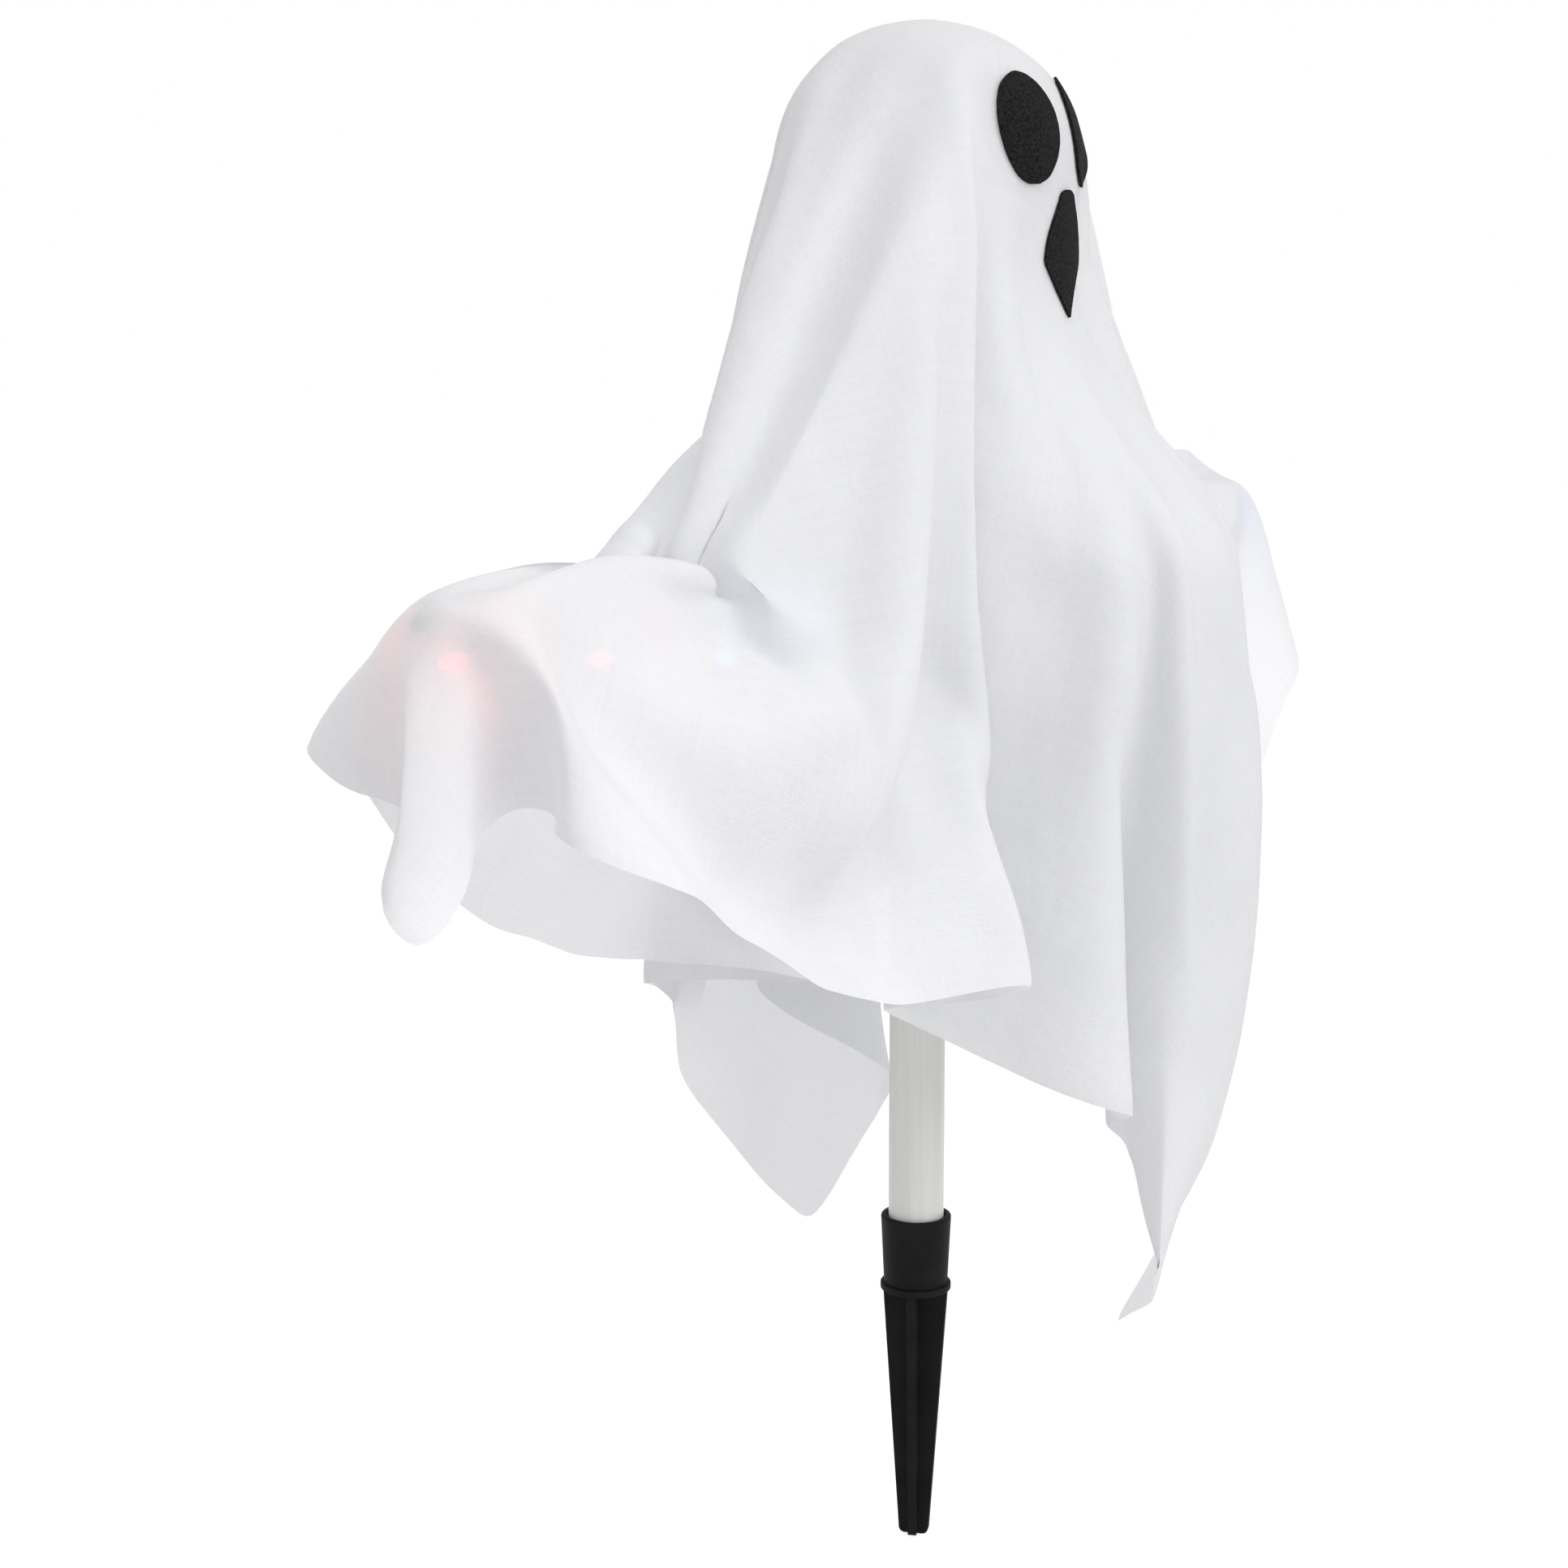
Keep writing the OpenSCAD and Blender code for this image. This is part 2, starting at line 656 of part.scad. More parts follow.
module pole_coupler() {
    color(WHITE) difference() {
        union() {
            translate([0, 0, joint_z - plug_len]) cylinder(r = pole_bore_r - fit_gap, h = plug_len);
            translate([0, 0, joint_z]) cylinder(r = pole_r, h = coupler_flange_t);
            translate([0, 0, upper_z]) cylinder(r = pole_bore_r - run_gap, h = spigot_len);
        }
        translate([0, 0, joint_z - plug_len - 1])
            cylinder(r = pole_bore_r - coupler_wall, h = plug_len + coupler_flange_t + spigot_len + 2);
    }
}

module upper_pole() {
    color(WHITE) translate([0, 0, upper_z]) tube(pole_r, pole_bore_r, pole_top_z - upper_z);
}

// Head
module neck_sleeve() {
    color(WHITE) difference() {
        union() {
            translate([0, 0, flat_z - neck_flange_t]) cylinder(d = neck_flat_d, h = neck_flange_t);
            translate([0, 0, flat_z]) cylinder(r = sleeve_r, h = bore_end_z - flat_z);
        }
        translate([0, 0, flat_z - neck_flange_t - 1])
            cylinder(r = pole_r + fit_gap, h = pole_top_z - flat_z + neck_flange_t + 1);
    }
}

module head_ball() {
    color("white") difference() {
        translate([0, 0, head_z]) sphere(r = head_r, $fn = 96);
        translate([0, 0, head_z - 2 * head_r]) cylinder(r = head_r, h = flat_z - head_z + 2 * head_r);
        translate([0, 0, flat_z - 1]) cylinder(r = sleeve_r + fit_gap, h = bore_end_z - flat_z + 1);
    }
}

// Shoulders
module ear() {
    along_y(0) linear_extrude(height = ear_t) {
        translate([pivot_x, 0]) circle(d = ear_w);
        translate([0, -ear_w / 2]) square([pivot_x, ear_w]);
    }
}

module shoulder_hub() {
    color(WHITE) translate([0, 0, hub_z]) difference() {
        union() {
            translate([0, 0, -hub_h / 2]) cylinder(r = hub_r, h = hub_h);
            both_sides() {
                translate([0, ear_y, 0]) ear();
                translate([0, -ear_out_y, 0]) ear();
            }
            along_y(0) cylinder(d = screw_head_d, h = hub_r + screw_head_h / 2);
        }
        translate([0, 0, -hub_h]) cylinder(r = hub_bore_r, h = 2 * hub_h);
        along_y(0) cylinder(r = screw_d / 2 + fit_gap, h = 2 * hub_r);
        both_sides() translate([pivot_x, 0, 0]) along_y(-2 * ear_out_y)
            cylinder(r = screw_d / 2 + fit_gap, h = 4 * ear_out_y);
    }
}

module hub_screw() {
    seat = hub_r + screw_head_h / 2;
    color(STEEL) translate([0, 0, hub_z]) {
        along_y(pole_r + fit_gap) cylinder(d = screw_d, h = seat - pole_r - fit_gap + overlap);
        along_y(seat) cylinder(d = screw_head_d, h = screw_head_h);
    }
}

module pivot_screws() {
    color(STEEL) both_sides() translate([pivot_x, 0, hub_z]) {
        along_y(-ear_out_y) cylinder(d = screw_d, h = 2 * ear_out_y + nut_h + 1);
        along_y(-ear_out_y - screw_head_h) cylinder(d = screw_head_d, h = screw_head_h);
    }
}

module pivot_nuts() {
    color(STEEL) both_sides() translate([pivot_x, 0, hub_z]) along_y(ear_out_y) difference() {
        cylinder(d = nut_d, h = nut_h, $fn = 6);
        translate([0, 0, -1]) cylinder(r = screw_d / 2 + fit_gap, h = nut_h + 2);
    }
}

// Arms
module knuckle(side) {
    color(WHITE) on_arm(side) difference() {
        union() {
            along_y(-tongue_t / 2) linear_extrude(height = tongue_t) {
                circle(d = ear_w);
                translate([0, -ear_w / 3]) square([knuckle_start + 1, 2 * ear_w / 3]);
            }
            along_x(knuckle_start) cylinder(d = knuckle_d, h = knuckle_len);
        }
        along_y(-tongue_t) cylinder(r = screw_d / 2 + run_gap, h = 2 * tongue_t);
        along_x(tube_start) cylinder(r = arm_od / 2 + fit_gap, h = knuckle_len);
        along_x(core_start) cylinder(r = core_d / 2 + fit_gap, h = knuckle_len);
    }
}

module arm_tube(side) {
    color([0.9, 0.9, 0.88]) on_arm(side) along_x(tube_start)
        tube(arm_od / 2, core_d / 2 + fit_gap, tube_end - tube_start);
}

module arm_core(side) {
    color(STEEL) on_arm(side) along_x(core_start) cylinder(d = core_d, h = tube_end - core_start);
}

module hand_cap(side) {
    color(WHITE) on_arm(side) difference() {
        union() {
            along_x(tube_end - hand_grip) cylinder(r = hand_r, h = hand_grip);
            translate([tube_end, 0, 0]) sphere(r = hand_r);
        }
        along_x(tube_end - hand_grip - hand_r) cylinder(r = arm_od / 2 + fit_gap, h = hand_grip + hand_r);
    }
}

// Lights on the arms
function led_x(i) = arm_len - led_tip - (2 - i) * led_pitch;

module light_wire(side) {
    color(WIRE) on_arm(side) translate([0, 0, arm_wire_z]) along_x(arm_wire_start)
        cylinder(r = wire_r, h = arm_wire_end - arm_wire_start);
}

module led_holders(side) {
    color("white") on_arm(side) for (i = [0:2]) translate([0, 0, arm_holder_z])
        along_x(led_x(i) - holder_len / 2) cylinder(r = holder_r, h = holder_len);
}

module arm_led(side, i, tint) {
    color(tint) on_arm(side) translate([0, 0, arm_holder_z]) along_x(led_x(i) + holder_len / 2) lens();
}

module arm_ties(side) {
    color("white") on_arm(side) for (i = [0:2]) along_x(led_x(i)) rotate([0, 0, 90])
        tie_band(arm_od / 2, -arm_holder_z);
}

// Battery case on the back of the pole
module case_clip() {
    gap = tan(clip_open / 2) * 2 * pole_r;
    difference() {
        union() {
            cylinder(r = pole_r + fit_gap + clip_wall, h = clip_h);
            translate([-clip_web_w / 2, 0, 0]) cube([clip_web_w, case_y + case_wall / 2, clip_h]);
        }
        translate([0, 0, -1]) cylinder(r = pole_r + fit_gap, h = clip_h + 2);
        translate([0, 0, -1]) linear_extrude(height = clip_h + 2)
            polygon([[0, 0], [-gap, -2 * pole_r], [gap, -2 * pole_r]]);
    }
}

module battery_case() {
    groove_y = lid_y - slide_gap;
    color([0.16, 0.16, 0.17]) difference() {
        union() {
            translate([-case_w / 2, case_y, case_z]) cube([case_w, case_d, case_h]);
            for (z = [case_z + clip_inset, case_z + case_h - clip_inset - clip_h])
                translate([0, 0, z]) case_clip();
        }
        translate([-case_in_x, case_in_y, aux_z]) cube([2 * case_in_x, case_d, aux_h]);
        translate([-case_in_x, case_in_y, bay_z]) cube([2 * case_in_x, case_d, bay_len]);
        translate([-case_in_x, groove_y, aux_z]) cube([2 * case_in_x, case_d, case_h]);
        translate([-case_in_x - lid_tongue, groove_y, aux_z])
            cube([2 * (case_in_x + lid_tongue), lid_tongue_t + 2 * slide_gap, case_h]);
        translate([switch_x - slot_w / 2, switch_y - slider_d / 2 - slide_gap, case_z - 1])
            cube([slot_w, slider_d + 2 * slide_gap, case_wall + 2]);
        translate([-case_w / 2 - 1, grommet_y, aux_mid_z]) rotate([0, 90, 0])
            cylinder(d = grommet_d, h = case_wall + 2);
    }
    color([0.16, 0.16, 0.17]) for (s = [-1, 1])
        translate([board_x + s * board_w / 3, case_in_y - overlap, aux_mid_z]) rotate([-90, 0, 0])
            cylinder(d = boss_d, h = boss_len + overlap);
}

module battery_lid() {
    rise = case_z + case_h - aux_z;
    color([0.18, 0.18, 0.19]) {
        translate([-case_in_x + slide_gap, lid_y, aux_z]) cube([2 * (case_in_x - slide_gap), lid_t, rise]);
        translate([-case_in_x - lid_tongue + slide_gap, lid_y, aux_z])
            cube([2 * (case_in_x + lid_tongue - slide_gap), lid_tongue_t, rise]);
        for (i = [1:rib_count]) translate([-case_w / 5, case_back_y - overlap, aux_z + rise - rib_pitch * i])
            cube([2 * case_w / 5, lid_rib_h + overlap, rib_w]);
    }
}

// A cell's plus end is up in the outer two and down in the middle one
module cell(i) {
    up = i != 1;
    foot = bay_z + contact_t + (up ? leaf_h + fit_gap : nub_h);
    color([0.25, 0.3, 0.35]) translate([(i - 1) * cell_pitch, cell_y, foot]) {
        cylinder(d = cell_d, h = cell_len - fit_gap);
        translate([0, 0, up ? cell_len - fit_gap - overlap : -nub_h])
            cylinder(d = nub_d, h = nub_h + overlap - fit_gap);
    }
}

module contact_plates() {
    color(STEEL) for (i = [0:2])
        translate([(i - 1) * cell_pitch, cell_y, i != 1 ? bay_end_z - contact_t : bay_z])
            translate([-contact_w / 2, -contact_w / 2, 0]) cube([contact_w, contact_w, contact_t]);
}

module contact_leaf() {
    steps = 12;
    bow = [for (i = [0:steps]) [contact_w * (i / steps - 0.5), contact_t + leaf_h * sin(180 * i / steps)]];
    under = [for (i = [steps - 1:-1:1]) [bow[i][0], max(contact_t, bow[i][1] - contact_t)]];
    rotate([90, 0, 0]) linear_extrude(height = contact_w, center = true) {
        polygon(concat(bow, under));
        translate([-contact_w / 2, 0]) square([contact_w, contact_t]);
    }
}

module contact_leaves() {
    color(STEEL) for (i = [0:2]) translate([(i - 1) * cell_pitch, cell_y, i != 1 ? bay_z : bay_end_z])
        rotate([i != 1 ? 0 : 180, 0, 0]) contact_leaf();
}

module control_board() {
    color([0.1, 0.35, 0.2]) translate([board_x - board_w / 2, board_y, aux_mid_z - board_h / 2])
        cube([board_w, board_t, board_h]);
}

module switch_body() {
    cavity_w = slot_w + 2 * slider_lip;
    cavity_d = slider_d + 2 * slider_lip + 2 * slide_gap;
    color([0.1, 0.1, 0.1]) translate([switch_x, switch_y, aux_z]) difference() {
        translate([-switch_w / 2, -switch_d / 2, 0]) cube([switch_w, switch_d, switch_h]);
        translate([-cavity_w / 2, -cavity_d / 2, -1])
            cube([cavity_w, cavity_d, 1 + slider_base_h + 2 * slide_gap]);
    }
}

// The knob stands at the off end of its travel, away from the case's middle
module switch_slider() {
    x = switch_x + switch_travel / 2;
    base_w = slider_w + 2 * slider_lip;
    base_d = slider_d + 2 * slider_lip;
    color([0.75, 0.75, 0.75]) {
        translate([x - base_w / 2, switch_y - base_d / 2, aux_z + slide_gap])
            cube([base_w, base_d, slider_base_h]);
        translate([x - slider_w / 2, switch_y - slider_d / 2, case_z - knob_h])
            cube([slider_w, slider_d, knob_h + case_wall + slide_gap + slider_base_h / 2]);
    }
}

module wire_grommet() {
    neck_r = grommet_d / 2 - fit_gap;
    bore_r = wire_r + fit_gap;
    flange_r = grommet_flange_d / 2;
    ends = [-grommet_flange_t, case_wall + grommet_flange_t];
    color([0.12, 0.12, 0.12]) translate([-case_w / 2, grommet_y, aux_mid_z]) rotate([0, 90, 0])
        rotate_extrude() polygon([[bore_r, ends[0]], [flange_r, ends[0]], [flange_r, 0], [neck_r, 0],
            [neck_r, case_wall], [flange_r, case_wall], [flange_r, ends[1]], [bore_r, ends[1]]]);
}

// Wires and lights on the pole
module feed_wire() {
    start = [-case_w / 2, grommet_y, aux_mid_z];
    finish = [0, pole_wire_y, pole_wire_start - fit_gap];
    rise = [0, 0, straight_end];
    route_points = [for (p = FEED_ROUTE) start + p];
    color(WIRE) swept_tube(concat(route_points, [finish - 2 * rise, finish - rise, finish]), [0, 0, 1]);
}

module pole_light_wire() {
    color(WIRE) translate([0, pole_wire_y, pole_wire_start])
        cylinder(r = wire_r, h = junction_z - pole_wire_start);
}

module light_junction() {
    color("white") translate([-junction_w / 2, junction_y - junction_d, junction_z])
        cube([junction_w, junction_d, junction_h]);
}

module pole_led_holders() {
    color("white") for (z = [pole_led_low, pole_led_high]) translate([0, pole_holder_y, z - holder_len / 2])
        cylinder(r = holder_r, h = holder_len);
}

module pole_led(z, tint) {
    color(tint) translate([0, pole_holder_y, z - holder_len / 2]) rotate([180, 0, 0]) lens();
}

module pole_ties() {
    color("white") for (z = [pole_led_low, pole_led_high])
        translate([0, 0, z]) tie_band(pole_r, -pole_holder_y);
}

module shoulder_lead(side) {
    start = [junction_w / 2 + fit_gap, junction_y - junction_d / 2, junction_z + junction_h / 2];
    along = [cos(arm_rise), 0, sin(arm_rise)];
    finish = [pivot_x + arm_wire_start * cos(arm_rise) - arm_wire_z * sin(arm_rise), 0,
        hub_z + arm_wire_start * sin(arm_rise) + arm_wire_z * cos(arm_rise)];
    near = finish - fit_gap * along;
    points = concat([start], [for (p = LEAD_ROUTE) start + p], [near - straight_end * along, near]);
    color(WIRE) if (side == RIGHT) mirror([1, 0, 0]) swept_tube(points, [0, 0, 1]);
    else swept_tube(points, [0, 0, 1]);
}

// The sheet, with its crown as a fan, and the felt face
module shroud() {
    rows = [for (j = [1:RINGS], k = [0:MERIDIANS - 1]) [j, k]];
    crown = [0, 0, head_z + sheet_r];
    outer = [for (p = rows) off_sheet(p[0], p[1], 0)];
    inner = [for (p = rows) off_sheet(p[0], p[1], -sheet_t)];
    count = len(rows);
    verts = concat(outer, inner, [crown, crown - [0, 0, sheet_t]]);
    fans = [for (k = [0:MERIDIANS - 1])
        let (b = (k + 1) % MERIDIANS)
        each [[2 * count, b, k], [2 * count + 1, count + k, count + b]]];
    bands = [for (j = [0:RINGS - 2], k = [0:MERIDIANS - 1])
        let (a = j * MERIDIANS + k, b = j * MERIDIANS + (k + 1) % MERIDIANS)
        let (c = a + MERIDIANS, d = b + MERIDIANS)
        each [[a, b, c], [b, d, c], [a + count, c + count, b + count], [b + count, c + count, d + count]]];
    hem = [for (k = [0:MERIDIANS - 1])
        let (a = count - MERIDIANS + k, b = count - MERIDIANS + (k + 1) % MERIDIANS)
        each [[a, b, a + count], [b, b + count, a + count]]];
    color([0.9, 0.91, 0.94]) polyhedron(points = verts, faces = concat(fans, bands, hem), convexity = 8);
}

module right_eye() {
    color(BLACK) felt(-eye_turn, head_z + eye_up, oval(eye_w, eye_h));
}

module left_eye() {
    color(BLACK) felt(eye_turn, head_z + eye_up, oval(eye_w, eye_h));
}

module mouth() {
    color(BLACK) felt(0, head_z - mouth_down, drop(mouth_w, mouth_h));
}

ground_stake();
lower_pole();
pole_coupler();
upper_pole();
neck_sleeve();
head_ball();
shoulder_hub();
hub_screw();
pivot_screws();
pivot_nuts();
knuckle(RIGHT);  // right_knuckle
arm_tube(RIGHT);  // right_arm_tube
arm_core(RIGHT);  // right_arm_core
hand_cap(RIGHT);  // right_hand_cap
light_wire(RIGHT);  // right_light_wire
led_holders(RIGHT);  // right_led_holders
arm_led(RIGHT, 0, BLUE);  // right_led_1
arm_led(RIGHT, 1, PINK);  // right_led_2
arm_led(RIGHT, 2, RED);  // right_led_3
arm_ties(RIGHT);  // right_ties
knuckle(LEFT);  // left_knuckle
arm_tube(LEFT);  // left_arm_tube
arm_core(LEFT);  // left_arm_core
hand_cap(LEFT);  // left_hand_cap
light_wire(LEFT);  // left_light_wire
led_holders(LEFT);  // left_led_holders
arm_led(LEFT, 0, GREEN);  // left_led_1
arm_led(LEFT, 1, AMBER);  // left_led_2
arm_led(LEFT, 2, BLUE);  // left_led_3
arm_ties(LEFT);  // left_ties
battery_case();
battery_lid();
cell(0);  // cell_1
cell(1);  // cell_2
cell(2);  // cell_3
contact_plates();
contact_leaves();
control_board();
switch_body();
switch_slider();
wire_grommet();
feed_wire();
pole_light_wire();
light_junction();
pole_led_holders();
pole_led(pole_led_low, TEAL);  // pole_led_1
pole_led(pole_led_high, AMBER);  // pole_led_2
pole_ties();
shoulder_lead(RIGHT);  // right_shoulder_lead
shoulder_lead(LEFT);  // left_shoulder_lead
shroud();
right_eye();
left_eye();
mouth();
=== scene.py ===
import bisect
import math

import bmesh
import bpy
from mathutils import Matrix, Vector, noise
from mathutils.bvhtree import BVHTree


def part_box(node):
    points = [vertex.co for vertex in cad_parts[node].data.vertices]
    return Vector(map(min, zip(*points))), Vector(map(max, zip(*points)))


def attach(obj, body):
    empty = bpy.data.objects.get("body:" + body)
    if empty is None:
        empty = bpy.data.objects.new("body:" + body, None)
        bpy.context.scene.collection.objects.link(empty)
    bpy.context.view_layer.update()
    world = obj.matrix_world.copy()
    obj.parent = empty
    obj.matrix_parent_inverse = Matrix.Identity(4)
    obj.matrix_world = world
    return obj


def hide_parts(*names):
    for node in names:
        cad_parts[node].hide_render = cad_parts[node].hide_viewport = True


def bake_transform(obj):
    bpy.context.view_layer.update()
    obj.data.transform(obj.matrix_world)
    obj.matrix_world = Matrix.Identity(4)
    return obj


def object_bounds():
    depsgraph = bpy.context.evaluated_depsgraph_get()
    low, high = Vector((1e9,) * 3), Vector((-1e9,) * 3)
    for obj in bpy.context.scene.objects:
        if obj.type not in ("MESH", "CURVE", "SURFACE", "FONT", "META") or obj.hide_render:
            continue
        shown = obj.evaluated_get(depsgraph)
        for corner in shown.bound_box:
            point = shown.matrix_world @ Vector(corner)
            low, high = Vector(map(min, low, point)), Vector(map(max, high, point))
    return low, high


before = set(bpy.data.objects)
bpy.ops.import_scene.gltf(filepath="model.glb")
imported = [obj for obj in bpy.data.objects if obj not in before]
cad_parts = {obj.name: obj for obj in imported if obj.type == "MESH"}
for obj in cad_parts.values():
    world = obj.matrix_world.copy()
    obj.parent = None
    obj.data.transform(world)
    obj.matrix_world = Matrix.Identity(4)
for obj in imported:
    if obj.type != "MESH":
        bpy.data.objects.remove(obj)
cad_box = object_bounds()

# Camera. It stands at the ghost's right and a little ahead of it, 1.1 m away at the height of the brow,
# and looks slightly down, so that the face is seen almost edge on.
scene = bpy.context.scene
scene.view_settings.view_transform = "Standard"
camera_turn = math.radians(-63.42)
camera_reach = 1.1213
camera_height = 0.3989
camera_yaw = math.radians(2.6946)
camera_pitch = math.radians(8.438)
camera_data = bpy.data.cameras.new("camera")
camera_data.sensor_width = 36
camera_data.lens = 66.86
camera_data.shift_y = -0.05
camera = bpy.data.objects.new("camera", camera_data)
scene.collection.objects.link(camera)
camera_side = Vector((math.sin(camera_turn), -math.cos(camera_turn), 0))
camera.location = camera_side * camera_reach + Vector((0, 0, camera_height))
look_turn = camera_turn + camera_yaw
look_flat = Vector((-math.sin(look_turn), math.cos(look_turn), 0))
look = look_flat * math.cos(camera_pitch) - Vector((0, 0, math.sin(camera_pitch)))
camera.rotation_euler = look.to_track_quat("-Z", "Y").to_euler()
scene.camera = camera


# Studio. A pale floor at the spike's tip, an even white room, a broad soft lamp overhead, one before the
# face and a weak one behind. The floor and the room show white, and the floor keeps a faint shadow.
def put(tree, kind, settings=None, **inputs):
    """Adds a shader node. An input is given by its name, as a value or as the socket that feeds it."""
    made = tree.nodes.new(kind)
    for name, value in (settings or {}).items():
        setattr(made, name, value)
    for name, value in inputs.items():
        socket = made.inputs[name.replace("_", " ")]
        if isinstance(value, bpy.types.NodeSocket):
            tree.links.new(value, socket)
        else:
            socket.default_value = value
    return made


def calc(tree, operation, first, second=0.0):
    """Adds a Math node and gives its result."""
    made = tree.nodes.new("ShaderNodeMath")
    made.operation = operation
    for socket, value in zip(made.inputs, (first, second)):
        if isinstance(value, bpy.types.NodeSocket):
            tree.links.new(value, socket)
        else:
            socket.default_value = value
    return made.outputs[0]


def blank_material(name):
    """Adds a material that holds nothing but its output, and gives its tree and the output."""
    material = bpy.data.materials.new(name)
    material.use_nodes = True
    material.node_tree.nodes.clear()
    return material, material.node_tree, material.node_tree.nodes.new("ShaderNodeOutputMaterial")


def seen_directly(tree):
    """1 for rays from the camera, off gloss and through glass, 0 for rays that only carry light."""
    path = put(tree, "ShaderNodeLightPath")
    gloss_or_glass = calc(tree, "MAXIMUM", path.outputs["Is Glossy Ray"], path.outputs["Is Transmission Ray"])
    return calc(tree, "MAXIMUM", path.outputs["Is Camera Ray"], gloss_or_glass)


def new_piece(name, mesh):
    """Adds a mesh to the scene as an object at the origin."""
    made = bpy.data.objects.new(name, mesh)
    scene.collection.objects.link(made)
    return made


def mesh_of(bm, name):
    """Writes a bmesh into a new mesh and frees it."""
    mesh = bpy.data.meshes.new(name)
    bm.to_mesh(mesh)
    bm.free()
    return mesh


floor_half = 6.0
floor_gap = 0.0005
floor_bm = bmesh.new()
bmesh.ops.create_grid(floor_bm, x_segments=1, y_segments=1, size=floor_half)
bmesh.ops.translate(floor_bm, verts=floor_bm.verts, vec=(0, 0, cad_box[0][2] - floor_gap))
floor = new_piece("floor", mesh_of(floor_bm, "floor"))
floor_material, tree, output = blank_material("pale_floor")
floor_bounce = put(tree, "ShaderNodeBsdfDiffuse", Color=(0.8, 0.8, 0.8, 1))
floor_shade = put(tree, "ShaderNodeBsdfDiffuse", Color=(0.3, 0.3, 0.31, 1))
floor_white = put(tree, "ShaderNodeEmission", Color=(1, 1, 1, 1), Strength=0.87)
floor_seen = tree.nodes.new("ShaderNodeAddShader")
tree.links.new(floor_shade.outputs[0], floor_seen.inputs[0])
tree.links.new(floor_white.outputs[0], floor_seen.inputs[1])
floor_mix = put(tree, "ShaderNodeMixShader", Fac=seen_directly(tree))
tree.links.new(floor_bounce.outputs[0], floor_mix.inputs[1])
tree.links.new(floor_seen.outputs[0], floor_mix.inputs[2])
tree.links.new(floor_mix.outputs[0], output.inputs["Surface"])
floor.data.materials.append(floor_material)

room_light = 0.62
world = bpy.data.worlds.new("white_room")
scene.world = world
world.use_nodes = True
tree = world.node_tree
tree.nodes.clear()
room_strength = calc(tree, "MULTIPLY_ADD", seen_directly(tree), 1 - room_light)
room_strength.node.inputs[2].default_value = room_light
room = put(tree, "ShaderNodeBackground", Color=(1, 1, 1, 1), Strength=room_strength)
tree.links.new(room.outputs[0], put(tree, "ShaderNodeOutputWorld").inputs["Surface"])


def soft_lamp(name, place, aim, watts, size):
    """Adds a square area lamp that points at a place."""
    data = bpy.data.lights.new(name, "AREA")
    data.energy = watts
    data.size = size
    lamp = bpy.data.objects.new(name, data)
    scene.collection.objects.link(lamp)
    lamp.location = place
    lamp.rotation_euler = (Vector(place) - Vector(aim)).to_track_quat("Z", "Y").to_euler()


body_middle = (0, 0, 0.25)
soft_lamp("overhead_lamp", (-0.35, -0.35, 1.85), body_middle, 9, 1.4)
soft_lamp("face_lamp", (-0.2, -1.6, 0.8), body_middle, 10.5, 1.2)
soft_lamp("back_lamp", (0.3, 1.6, 0.8), body_middle, 2, 1.2)


# Ground stake. One black polypropylene moulding: a round collar that takes the pole, a lip to press on and
# a spike of four tapering fins. It has the fine spark-eroded grain of its mould.
def new_group(name, inputs, outputs):
    """Starts a shader node group with named sockets, and gives it with its two end nodes."""
    group = bpy.data.node_groups.new(name, "ShaderNodeTree")
    for socket, kind in inputs.items():
        group.interface.new_socket(socket, in_out="INPUT", socket_type="NodeSocket" + kind)
    for socket, kind in outputs.items():
        group.interface.new_socket(socket, in_out="OUTPUT", socket_type="NodeSocket" + kind)
    return group, group.nodes.new("NodeGroupInput").outputs, group.nodes.new("NodeGroupOutput").inputs


def shade(tree, factor, first, second, blend_type="MIX"):
    """Adds a colour Mix node and gives its result."""
    made = tree.nodes.new("ShaderNodeMix")
    made.data_type = "RGBA"
    made.blend_type = blend_type
    for socket, value in zip((made.inputs[0], made.inputs[6], made.inputs[7]), (factor, first, second)):
        if isinstance(value, bpy.types.NodeSocket):
            tree.links.new(value, socket)
        else:
            socket.default_value = value
    return made.outputs[2]


def object_place(tree):
    """The point on the piece, in metres from the frame's origin."""
    return put(tree, "ShaderNodeTexCoord").outputs["Object"]


def noise_at(tree, place, scale, detail=2.0, roughness=0.5):
    """Adds a noise texture and gives its value."""
    made = put(tree, "ShaderNodeTexNoise", Vector=place, Scale=scale, Detail=detail, Roughness=roughness)
    return made.outputs[0]


mould_grain, have, give = new_group(
    "mould_grain",
    {"Color": "Color", "Cloud Color": "Color", "Grain Scale": "Float", "Relief": "Float",
     "Roughness": "Float"},
    {"Color": "Color", "Roughness": "Float", "Normal": "Vector"})
place = object_place(mould_grain)
pits = noise_at(mould_grain, place, have["Grain Scale"], 3.0, 0.65)
clouds = noise_at(mould_grain, place, 55.0, 4.0, 0.6)
cloud_mask = put(mould_grain, "ShaderNodeMapRange", Value=clouds, From_Min=0.38, From_Max=0.68).outputs[0]
pit_mask = put(mould_grain, "ShaderNodeMapRange", Value=pits, From_Min=0.35, From_Max=0.7).outputs[0]
clouded = shade(mould_grain, cloud_mask, have["Color"], have["Cloud Color"])
pitted = shade(mould_grain, calc(mould_grain, "MULTIPLY", pit_mask, 0.35), clouded, have["Cloud Color"])
rough = calc(mould_grain, "MULTIPLY_ADD", calc(mould_grain, "SUBTRACT", clouds, 0.5), 0.3)
mould_grain.links.new(have["Roughness"], rough.node.inputs[2])
relief = put(mould_grain, "ShaderNodeBump", Strength=have["Relief"], Distance=0.0002, Height=pits)
